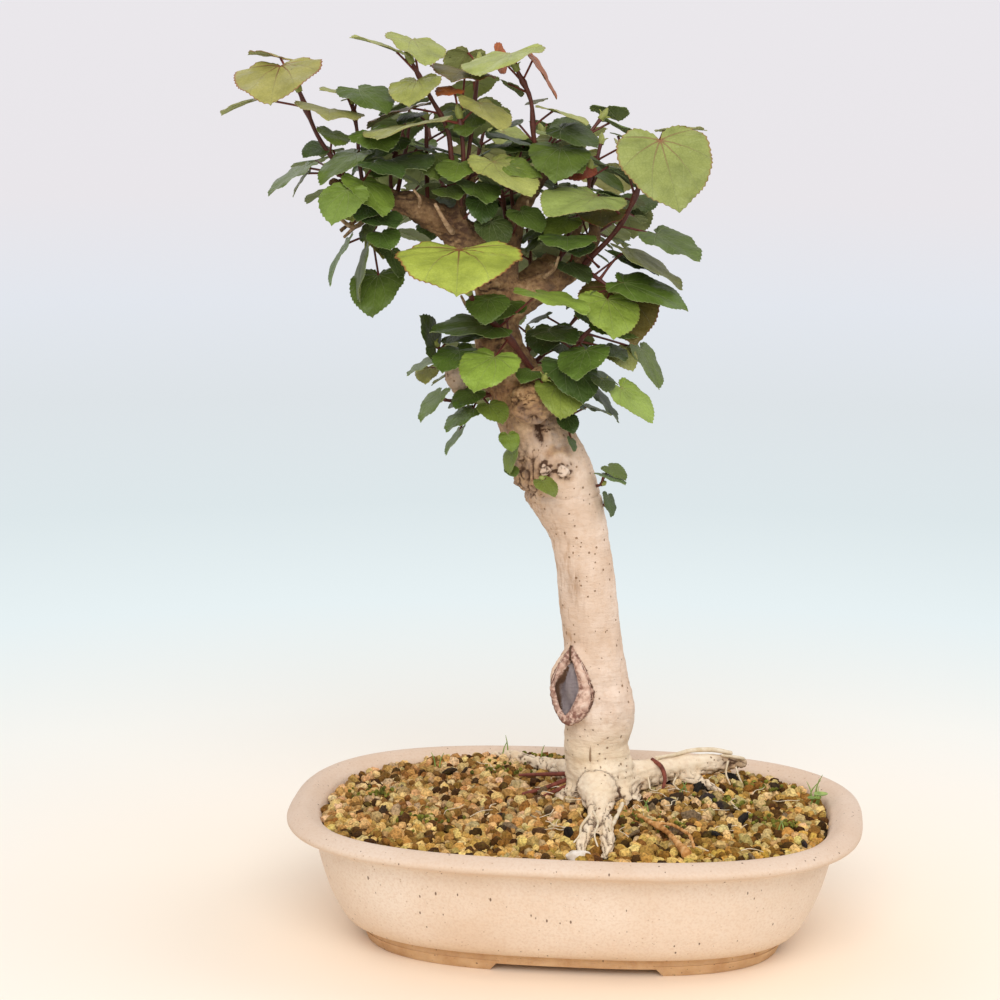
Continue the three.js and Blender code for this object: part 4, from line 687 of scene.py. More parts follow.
# Painted shade of the leaves on the boughs: up to half-way to a dark brown.
skin = tinted(tree, skin, value["inner"], 0.5, "3c2917")
small_pores = add(tree, "Math.MULTIPLY", specks(tree, place, 4.2, 1.05), 0.8)
pore_place = add(tree, "Mapping", Vector=place, Scale=(1, 1, 0.5), Location=(0.013, 0.02, 0))
large_pores = add(tree, "Math.MULTIPLY", specks(tree, pore_place, 7, 0.95), 0.85)
pores = add(tree, "Math.MAXIMUM", small_pores, large_pores)
base_scars = add(
    tree, "Math.MULTIPLY", specks(tree, upright, 8, 1.1), add(tree, "Math.MULTIPLY", value["root"], 0.85)
)
pores = add(tree, "Math.MAXIMUM", pores, base_scars)
skin = add(tree, "MixRGB", pores, skin, "83603f")
lip_colour = mottled(tree, place, 3.0, [(0.3, "bf9884"), (0.5, "dfbca6"), (0.7, "efd5c1")])
ragged = add(
    tree, "Math.MULTIPLY_ADD", add(tree, "TexNoise", Vector=place, Scale=1000 / 2.2, Detail=3), 0.12,
    add(tree, "Math.SUBTRACT", value["outer"], 0.06),
)
lips = add(tree, "Math.MULTIPLY", value["front"], add(tree, "MapRange.SMOOTHSTEP", ragged, 1.03, 0.97))
skin = tinted(tree, skin, lips, 0.95, lip_colour)
uneven_edge = add(tree, "Math.MULTIPLY", value["lip_edge"], soft_patches(tree, place, 2.4, 0.3, 0.62))
skin = add(tree, "MixRGB", uneven_edge, skin, "7a4f42")
lip_lines = []
for middle, wide, narrow in ((1.0, 0.05, 0.01), (0.87, 0.035, 0.008)):
    away = add(tree, "Math.ABSOLUTE", add(tree, "Math.SUBTRACT", ragged, middle))
    lip_lines.append(add(tree, "MapRange.SMOOTHSTEP", away, wide, narrow))
edge_cracks = add(tree, "Math.MAXIMUM", *lip_lines)
edge_cracks = add(tree, "Math.MULTIPLY", edge_cracks, soft_patches(tree, place, 5, 0.35, 0.6))
skin = tinted(tree, skin, edge_cracks, value["front"], "5f4234")
grey_wood = mottled(tree, upright, 5, [(0.3, "6d6264"), (0.5, "867b7b"), (0.7, "9a8f8b")])
hollow_wood = add(
    tree, "Math.MULTIPLY", value["front"], add(tree, "MapRange.SMOOTHSTEP", value["hollow"], 1.08, 0.95)
)
skin = add(tree, "MixRGB", hollow_wood, skin, grey_wood)
# Cracks and grooves painted dark brown, partly their own colour and partly painted crevice shade.
torn_bark_and_crevice_shade = add(
    tree, "Math.MULTIPLY_ADD", add(tree, "TexNoise", Vector=place, Scale=1000 / 1.4, Detail=3), 0.6,
    add(tree, "Math.SUBTRACT", value["crack_and_crevice_shade"], 0.3),
)
skin = add(tree, "MixRGB", add(tree, "MapRange.SMOOTHSTEP", torn_bark_and_crevice_shade, 0.22, 0.7), skin, "59402f")
fine = add(
    tree, "Math.MULTIPLY_ADD", add(tree, "TexNoise", Vector=place, Scale=1000 / 0.8, Detail=3), 0.6,
    add(tree, "TexNoise", Vector=level, Scale=1000 / 1.5, Detail=3),
)
fine = add(
    tree, "Math.MULTIPLY_ADD", add(tree, "TexNoise", Vector=place, Scale=1000 / 2.6, Detail=3),
    add(tree, "Math.MULTIPLY", value["crown"], 1.6), fine,
)
cover(tree, surface, skin, add(tree, "Math.SUBTRACT", fine, pores), 0.55, 0.9)
tree_piece.data.materials.append(bark)
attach(tree_piece, "root")
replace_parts(tree_piece, "tree")

# The dead twigs: side shoots that died back on the boughs and snapped off short: bare wood, dry, thin and
# pale brown. Four start in the wood, one on another twig, and three stand 4 to 8 mm off the wood.
DEAD_TWIGS = [
    [(-79, -24, 444, 1.9), (-82, -34, 450, 1.5), (-88, -40, 462, 1.0)],
    [(-58, -15, 452, 1.6), (-57, -24, 458, 1.2), (-61, -27, 465, 0.9)],
    [(-128, -24, 456, 1.8), (-137, -38, 447, 1.5), (-147, -47, 455, 1.0)],
    [(-137, -38, 447, 1.3), (-143, -40, 441, 0.9)],
    [(-24, -16, 417, 1.5), (-17, -26, 423, 1.1), (-14, -30, 431, 0.8)],
    [(-100, -25, 457, 1.5), (-98, -33, 464, 1.1), (-101, -38, 470, 0.8)],
    [(-62, -20, 395, 1.6), (-69, -27, 399, 1.2), (-73, -29, 406, 0.8)],
    [(-44, 5, 446, 1.5), (-36, -6, 456, 1.1), (-35, -10, 463, 0.8)],
]
twig_wood = new_piece("dead_twigs", *joined([limb_tube(line, 8) for line in DEAD_TWIGS]))
only(twig_wood)
bpy.ops.object.shade_smooth_by_angle(angle=math.radians(50))
# Weathered dead wood: dry, matt and pale brown, with a fine furrowed grain.
dry_wood = mottled_material(
    "dry_twig_wood", (0.85, 0.2), [(0.3, "7f6146"), (0.5, "ab8a68"), (0.7, "c7a988")], patch_mm=3,
    bump_mm=0.9, depth_mm=0.4,
)
twig_wood.data.materials.append(dry_wood)
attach(twig_wood, "root")

# The soil bed: dark fines that fill the bowl up to under the lip and mound round the trunk, under the
# roots and along the back, coloured near black as painted shade. Loose grains lie on it, so its own rough
# skin shows only in the gaps.
SOIL = {"edge": 76, "mound": 10, "spread": 75, "bottom": 13.6, "clearance": 0.6, "grain": 5.2}
HEAPS = [(-45, 84, 62, 26, 7.5), (76, 54, 34, 16, 5.5), (-100, -10, 50, 50, 2.0), (20, -60, 30, 40, 2.0)]
INNER_WALL = POT_PROFILE[-6:]


def wall_inset(height):
    """The inset of the bowl's inner wall at a height."""
    for (high_inset, high), (low_inset, low) in zip(INNER_WALL, INNER_WALL[1:]):
        if low <= height <= high:
            return high_inset + (low_inset - high_inset) * (high - height) / (high - low)
    return INNER_WALL[-1][0]


def soil_height(x, y):
    reach = np.hypot(x - 14, 1.3 * (y - 12)) / SOIL["spread"]
    height = SOIL["edge"] + SOIL["mound"] * np.exp(-(reach**2))
    for middle_x, middle_y, long, deep, rise in HEAPS:
        height = height + rise * bell((x - middle_x) / long, (y - middle_y) / deep)
    return height


BED_POINTS = 120
BED_RINGS = 34
points = []
for height in (SOIL["bottom"], 19, 38, 74):
    inset = wall_inset(height) + SOIL["clearance"]
    points.extend((*oblong(inset, 2 * math.pi * k / BED_POINTS), height) for k in range(BED_POINTS))
edge_inset = wall_inset(SOIL["edge"]) + SOIL["clearance"]
for ring in range(BED_RINGS):
    share = 1 - ring / BED_RINGS
    for k in range(BED_POINTS):
        x, y = oblong(edge_inset, 2 * math.pi * k / BED_POINTS)
        points.append((share * x, share * y, 0.0))
points = np.array(points)
top = slice(4 * BED_POINTS, None)
points[top, 2] = soil_height(points[top, 0], points[top, 1]) - 1.8 + 1.1 * cloud(points[top], 7, 21)
bed = new_piece("soil_bed", points, ring_faces(4 + BED_RINGS, BED_POINTS))
only(bed)
bpy.ops.object.shade_smooth()
# Clay fines: brown, painted nearly black as the shade deep in the gaps between the grains, and quite matt.
fines = mottled_material(
    "clay_fines_gap_shade", (0.95, 0.15), [(0.3, "22190f"), (0.5, "3f2f1c"), (0.7, "5f4a2c")], patch_mm=5,
    bump_mm=1.5, depth_mm=1.0,
)
bed.data.materials.append(fines)
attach(bed, "root")
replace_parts(bed, "soil")

# The grains: crushed and sieved baked clay, 4 to 8 mm, ochre to brown with a few pale and grey ones.
# They lie in two loose layers on the bed, left out where the wood stands; ones near the trunk are darker.
GRAIN_KINDS = {
    "ochre_grains": ("ecc381", 0.34),
    "tan_grains": ("cfa05c", 0.26),
    "brown_grains": ("936832", 0.21),
    "dark_grains": ("56391c", 0.10),
    "pale_grains": ("e8c694", 0.09),
}
rng = np.random.default_rng(41)


def rough_stone(seed):
    """A rounded block with broken faces: 26 points and 24 faces, about 1 across."""
    shake = np.random.default_rng(seed)
    order, corners = {}, []
    for a in (-1, 0, 1):
        for b in (-1, 0, 1):
            for c in (-1, 0, 1):
                if (a, b, c) != (0, 0, 0):
                    order[(a, b, c)] = len(corners)
                    corners.append(np.array([a, b, c]) / (a * a + b * b + c * c) ** 0.44)
    corners = np.array(corners) * 0.5
    corners *= 1 + 0.34 * (shake.random((26, 1)) - 0.5) + 0.14 * (shake.random((26, 3)) - 0.5)
    squares = []
    for axis in range(3):
        for end in (-1, 1):
            for p, q in ((-1, -1), (-1, 0), (0, -1), (0, 0)):
                square = []
                for dp, dq in ((0, 0), (1, 0), (1, 1), (0, 1)):
                    spot = [p + dp, q + dq]
                    spot.insert(axis, end)
                    square.append(order[tuple(spot)])
                squares.append(square if (end > 0) != (axis == 1) else square[::-1])
    return corners, np.array(squares)


def any_turns(count, source):
    """Rotation matrices that point every way."""
    q = source.normal(size=(count, 4))
    w, x, y, z = (q / np.linalg.norm(q, axis=1, keepdims=True)).T
    return np.stack([
        np.stack([1 - 2 * (y * y + z * z), 2 * (x * y - z * w), 2 * (x * z + y * w)], -1),
        np.stack([2 * (x * y + z * w), 1 - 2 * (x * x + z * z), 2 * (y * z - x * w)], -1),
        np.stack([2 * (x * z - y * w), 2 * (y * z + x * w), 1 - 2 * (x * x + y * y)], -1),
    ], 1)


def scattered(places, sizes, stones, source, uneven=0.5):
    """Points and faces of stones put at places, each stretched and turned its own way."""
    turns = any_turns(len(places), source)
    stretch = 1 + uneven * (source.random((len(places), 3)) - 0.5)
    points, faces = [], []
    for k, place_mm in enumerate(places):
        corners, squares = stones[k % len(stones)]
        points.append((corners * stretch[k] * sizes[k]) @ turns[k].T + place_mm)
        faces.append(squares + k * len(corners))
    return np.concatenate(points), np.concatenate(faces).tolist()


def clear_of_wood(points, margin):
    """True for the points that lie outside every limb."""
    free = np.ones(len(points), bool)
    for line in LIMBS.values():
        for a, b in zip(line, line[1:]):
            start, end = np.array(a[:3], float), np.array(b[:3], float)
            span = end - start
            share = np.clip((points - start) @ span / span.dot(span), 0, 1)
            away = np.linalg.norm(points - (start + share[:, None] * span), axis=1)
            free &= away > a[3] + (b[3] - a[3]) * share + margin
    return free


def within_wall(x, y, room):
    share = (np.abs(x) / (POT_HALF_LENGTH - edge_inset - room)) ** POT_SQUARENESS
    return share + (np.abs(y) / (POT_HALF_DEPTH - edge_inset - room)) ** POT_SQUARENESS < 1


def coloured_piece(name, points, faces, codes, material):
    """A piece of many small bodies, each with its own colour from codes."""
    piece = new_piece(name, points, faces)
    rgba = np.ones((len(points), 4))
    rgba[:, :3] = np.repeat(np.clip(codes, 0, 1), len(points) // len(codes), axis=0)
    piece.data.attributes.new("own_colour", "FLOAT_COLOR", "POINT").data.foreach_set("color", rgba.ravel())
    piece.data.materials.append(material)
    only(piece)
    bpy.ops.object.shade_smooth_by_angle(angle=math.radians(42))
    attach(piece, "root")


places = []
for layer, lift in ((0, -0.6), (1, 1.8)):
    step = SOIL["grain"]
    for row, y in enumerate(np.arange(-POT_HALF_DEPTH, POT_HALF_DEPTH, step * 0.87)):
        for x in np.arange(-POT_HALF_LENGTH, POT_HALF_LENGTH, step):
            px = x + 0.5 * step * (row % 2) + 0.6 * step * (rng.random() - 0.5)
            py = y + 0.6 * step * (rng.random() - 0.5)
            if within_wall(px, py, 2.8) and (layer == 0 or rng.random() < 0.5):
                places.append((px, py, soil_height(px, py) + lift + 2.2 * (rng.random() - 0.5)))
places = np.array(places)
places = places[clear_of_wood(places, 0.4)]
sizes = 4.4 + 3.8 * rng.random(len(places)) ** 1.5
near_trunk = bell((places[:, 0] - 30) / 60, (places[:, 1] - 30) / 45)
right_side = gentle(places[:, 0], 30, 110)
pick = rng.random(len(places)) - 0.2 * cloud(places, 30, 22)
pick = np.where(pick < 0.85, pick + 0.25 * near_trunk + 0.32 * right_side, pick)
pumice_patch = bell((places[:, 0] + 22) / 26, (places[:, 1] + 34) / 24)
pick = np.where(rng.random(len(places)) < 0.35 * pumice_patch, 1.0, pick)
stones = [rough_stone(seed) for seed in range(12)]
# Crushed baked clay: quite matt and dusty, each grain of its own ochre or brown, with a green tinge of algae.
clay, tree, surface = new_material("crushed_baked_clay", 0.93, 0.15)
place = add(tree, "TexCoord", give="Object")
own = add(tree, "Attribute", give="Color", attribute_name="own_colour")
shade = mottled(tree, place, 1.5, [(0.3, "8c8c8c"), (0.62, "ffffff")])
colour = add(tree, "MixRGB.MULTIPLY", 0.8, own, shade)
moss_share = soft_patches(tree, place, 7, 0.55, 0.7)
colour = tinted(tree, colour, moss_share, 0.3, "8a7a35")
cover(tree, surface, colour, add(tree, "TexNoise", Vector=place, Scale=1000 / 1.0, Detail=3), 0.6)
lowest = 0.0
for name, (code, share) in GRAIN_KINDS.items():
    highest = lowest + share
    top = math.inf if name == "pale_grains" else highest
    bottom = -math.inf if lowest == 0 else lowest
    mine = (pick >= bottom) & (pick < top)
    points, faces = scattered(places[mine], sizes[mine], stones, rng)
    own = np.array(linear(code))[:3] * (0.66 + 0.62 * rng.random((mine.sum(), 1)))
    own *= 1 + 0.2 * (rng.random((mine.sum(), 3)) - 0.5)
    own[:, 2] *= 1 - 0.2 * gentle(-places[mine, 1], 20, 90) - 0.2 * right_side[mine]
    coloured_piece(name, points, faces, own, clay)
    lowest = highest

# Bits among the grains: flat chips of charred wood and a few grey stones, thrown in with the clay and lying
# loose on it, and low cushions of moss that grew in the damp gaps. All are small bodies like the grains.
chip_places = []
while len(chip_places) < 46:
    px, py = rng.normal(30, 60), rng.normal(5, 48)
    if within_wall(px, py, 5):
        chip_places.append((px, py, soil_height(px, py) + 3.6))
chip_places = np.array(chip_places)
chip_places = chip_places[clear_of_wood(chip_places, 2)]
flat_stones = [(corners * [1.5, 0.9, 0.4], squares) for corners, squares in stones]
points, faces = scattered(chip_places, 5 + 4.5 * rng.random(len(chip_places)), flat_stones, rng, 0.3)
tones = np.array([linear(code)[:3] for code in ("3a3230", "4a3a2a", "2f2a26", "6a4e34", "8a7458")])
coloured_piece("charred_chips", points, faces, tones[rng.integers(0, 5, len(chip_places))], clay)

moss_middles = [
    (-52, 62), (-128, 12), (34, -36), (60, -42), (96, 20), (128, -20), (-20, 96), (-90, -40), (120, 60)
]
moss_places = []
for middle_x, middle_y in moss_middles:
    for _ in range(26):
        px, py = rng.normal(middle_x, 11), rng.normal(middle_y, 8)
        if within_wall(px, py, 4):
            moss_places.append((px, py, soil_height(px, py) + 3.4 + 1.2 * rng.random()))
moss_places = np.array(moss_places)
moss_places = moss_places[clear_of_wood(moss_places, 0.5)]
points, faces = scattered(moss_places, 1.6 + 1.6 * rng.random(len(moss_places)), stones, rng)
moss_green = np.array(linear("7b7b30"))[:3] * (0.6 + 0.8 * rng.random((len(moss_places), 1)))
coloured_piece("moss_cushions", points, faces, moss_green, clay)

# Rootlets: fine white hair roots that wander over the grains and hang from the cut root, and a few thicker
# red-brown ones left of the trunk and over the right root. All are fixed in the soil or to the root.
white_lines = [
    [(69, 60, 103, 1.1), (60, 46, 104, 1.2), (50, 36, 104, 1.0), (44, 26, 98, 0.8), (46, 14, 90, 0.6)],
    [(96, 66, 101, 1.5), (84, 62, 104, 1.6), (70, 56, 104.5, 1.5), (58, 44, 104, 1.2), (48, 38, 104, 0.9)],
    [(104, 68, 97, 1.2), (100, 62, 99.5, 1.1), (90, 60, 101, 0.9)],
    [(94, 61, 97, 0.8), (93, 57, 90, 0.7), (96, 52, 84, 0.5)],
    [(99, 64, 93, 0.7), (101, 60, 88, 0.6), (104, 57, 83, 0.4)],
    [(62, 40, 92, 0.7), (60, 34, 88, 0.6), (64, 26, 86.5, 0.5)],
    [(31, -26, 91, 1.3), (28, -40, 86, 1.5), (26, -54, 84, 1.2), (22, -66, 83, 0.8)],
    [(12, -52, 90, 0.9), (8, -62, 86, 0.9), (8, -74, 84, 0.7), (5, -84, 82, 0.5)],
    [(24, -58, 87, 0.8), (27, -72, 84, 0.7), (24, -86, 82, 0.6)],
    [(14, -46, 91, 0.7), (18, -60, 88, 0.7), (17, -76, 85, 0.6), (20, -90, 82, 0.5)],
]
red_lines = [
    [(-2, 18, 95, 1.7), (-14, 12, 91, 1.5), (-24, 6, 88.5, 1.3), (-34, 2, 86.5, 1.1)],
    [(-4, 24, 95, 1.6), (-16, 32, 92, 1.4), (-28, 38, 89.5, 1.2), (-40, 42, 87.5, 0.9)],
    [(-2, 14, 92, 1.4), (-13, 4, 89, 1.3), (-22, -6, 87, 1.0)],
    [(46, 34, 103.5, 1.5), (52, 28, 101, 1.5), (55, 22, 95, 1.3), (54, 18, 89, 1.0)],
]
for _ in range(46):
    px, py = rng.normal(36, 58), rng.normal(-2, 48)
    heading = 6.28 * rng.random()
    line = []
    for k in range(5):
        if within_wall(px, py, 5):
            line.append((px, py, soil_height(px, py) + 4.2 + 1.5 * rng.random(), 0.34 - 0.04 * k))
        heading += 1.6 * (rng.random() - 0.5)
        px, py = px + 5 * math.cos(heading), py + 5 * math.sin(heading)
    if len(line) > 2:
        white_lines.append(line)
ROOTLETS = {
    "white_rootlets": (white_lines, [(0.3, "d0ba94"), (0.7, "eadcc2")]),
    "red_rootlets": (red_lines, [(0.3, "5d3028"), (0.7, "8c4c3c")]),
}
# Rootlet skin: dry and matt, cream on the white ones, which look bleached, and red-brown on the thick ones.
for name, (lines, stops) in ROOTLETS.items():
    piece = new_piece(name, *joined([limb_tube(line, 6) for line in lines]))
    only(piece)
    bpy.ops.object.shade_smooth()
    skin_name = name.replace("rootlets", "rootlet_skin")
    skin = mottled_material(skin_name, (0.75, 0.25), stops, patch_mm=4, bump_mm=0.8, depth_mm=0.2)
    piece.data.materials.append(skin)
    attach(piece, "root")

# The weeds: a few blades of grass and one round-leaved seedling at the right edge, and hair-thin stalks
# behind. They are living plants that seeded themselves and are rooted in the soil.
# A stalk: where it stands, how far it leans, its height. A round leaf: its middle and radius.
WEED_STALKS = [
    (150, 40, 5, 3, 17), (149, 38, -4, 2, 13), (151, 43, 2, -3, 15), (147, 45, 7, 2, 12), (152, 36, 1, 5, 10),
    (66, 22, 3, 1, 9), (69, 24, -3, 2, 8), (64, 20, 5, -2, 7), (44, -20, 4, 2, 9), (47, -22, -3, 1, 8),
    (-52, 90, -2, 1, 15), (-56, 92, 3, 1, 11), (-30, 88, 2, 2, 9), (-96, 74, 3, 0, 10), (-99, 76, -3, 2, 9),
    (128, -30, 3, 1, 7), (131, -28, -2, 2, 6),
]
ROUND_LEAVES = [(154, 30, 86, 4.6), (149, 27, 84, 3.4), (152, 24, 85, 2.6)]
weed_lines = []
for start_x, start_y, lean_x, lean_y, tall in WEED_STALKS:
    base = soil_height(start_x, start_y) + 2
    weed_lines.append([
        (start_x, start_y, base, 0.5),
        (start_x + 0.3 * lean_x, start_y + 0.3 * lean_y, base + 0.55 * tall, 0.42),
        (start_x + lean_x, start_y + lean_y, base + tall, 0.16),
    ])
weeds = [limb_tube(line, 6) for line in weed_lines]
for spot_x, spot_y, spot_z, size in ROUND_LEAVES:
    disc, discs = [], []
    for level in (0.35, -0.35):
        disc.append((spot_x, spot_y, spot_z + level - 0.8))
        for ring, rise in ((0.5, -0.3), (1.0, 0.5)):
            for k in range(16):
                turn = 2 * math.pi * k / 16
                disc.append((
                    spot_x + size * ring * math.cos(turn),
                    spot_y + size * ring * math.sin(turn),
                    spot_z + level * (1.3 - ring) + rise,
                ))
    for k in range(16):
        j = (k + 1) % 16
        discs += [(0, 1 + k, 1 + j), (1 + k, 17 + k, 17 + j, 1 + j)]
        discs += [(33, 34 + j, 34 + k), (34 + k, 34 + j, 50 + j, 50 + k), (17 + k, 50 + k, 50 + j, 17 + j)]
    weeds.append(([np.array(spot) for spot in disc], discs))
    weeds.append(
        limb_tube([(spot_x, spot_y, spot_z - 0.8, 0.5), (spot_x - 2, spot_y + 2, spot_z - 9, 0.5)], 6)
    )
weed_piece = new_piece("weed_seedlings", *joined(weeds))
only(weed_piece)
bpy.ops.object.shade_smooth_by_angle(angle=math.radians(50))
# Young leaf skin of the weeds: a light, faintly shiny yellow-green.
weed_green = mottled_material(
    "fresh_weed_green", (0.5, 0.35), [(0.3, "5e7a34"), (0.7, "a3b860")], patch_mm=5, bump_mm=1.0,
    depth_mm=0.15,
)
weed_piece.data.materials.append(weed_green)
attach(weed_piece, "root")

# The dead root: an orange-brown root with a thin side twig, long dead and dry, that lies on the soil at the
# front right. It was left when the tree was potted and is pressed a little into the grains.
dead_line = [
    (42, -34, 86, 1.3), (50, -48, 86, 1.6), (60, -64, 85.5, 1.7), (67, -82, 84.5, 1.8), (74, -97, 82, 3.4)
]
twig_line = [(50, -48, 86, 1.0), (63, -58, 88, 1.0), (74, -74, 87, 1.0), (78, -90, 84, 0.9)]
spur_line = [(42, -34, 84, 1.8), (38, -28, 85, 1.4), (33, -26, 84, 1.0)]
dead_root = new_piece(
    "dead_root_bark", *joined([limb_tube(dead_line, 14), limb_tube(twig_line, 8), limb_tube(spur_line, 8)])
)
apply_modifier(dead_root, "REMESH", mode="VOXEL", voxel_size=0.6 * MM)
rough = place_of(dead_root)
outward = normals_of(dead_root)
move_to(dead_root, rough + outward * (0.6 * cloud(rough, 3, 31) + 0.3 * cloud(rough, 1.2, 32))[:, None])
only(dead_root)
bpy.ops.object.shade_smooth()
# Dead root bark: rough, dry and orange, the warmest colour on the soil.
dead_bark = mottled_material(
    "orange_dead_root_bark", (0.8, 0.2), [(0.3, "93602f"), (0.5, "c48d50"), (0.7, "dcb07a")], patch_mm=4,
    bump_mm=0.9, depth_mm=0.4,
)
dead_root.data.materials.append(dead_bark)
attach(dead_root, "root")
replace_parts(dead_root, "dead_root")

# The pebble: one piece of white quartz, worn smooth and egg-shaped, dropped by hand beside the front lip. It
# lies sunk by a third in the grains.
bpy.ops.object.select_all(action="DESELECT")
bpy.ops.mesh.primitive_ico_sphere_add(subdivisions=4, radius=1, location=(0, 0, 0))
pebble = bpy.context.object
pebble.name = "white_pebble"
flat = np.empty(len(pebble.data.vertices) * 3)
pebble.data.vertices.foreach_get("co", flat)
ball = flat.reshape(-1, 3)
ball = ball * (1 + 0.16 * cloud(ball, 0.8, 33))[:, None]
move_to(pebble, ball * [8, 5.5, 4.2] + [10, -104, 79.5])
bpy.ops.object.shade_smooth()
# Tumbled quartz: milky white with warmer clouds and a soft shine.
quartz = mottled_material(
    "white_quartz_pebble", (0.55, 0.4), [(0.35, "cdbda8"), (0.65, "efe6da")], patch_mm=5, bump_mm=0.8,
    depth_mm=0.2,
)
pebble.data.materials.append(quartz)
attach(pebble, "root")
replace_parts(pebble, "pebble")

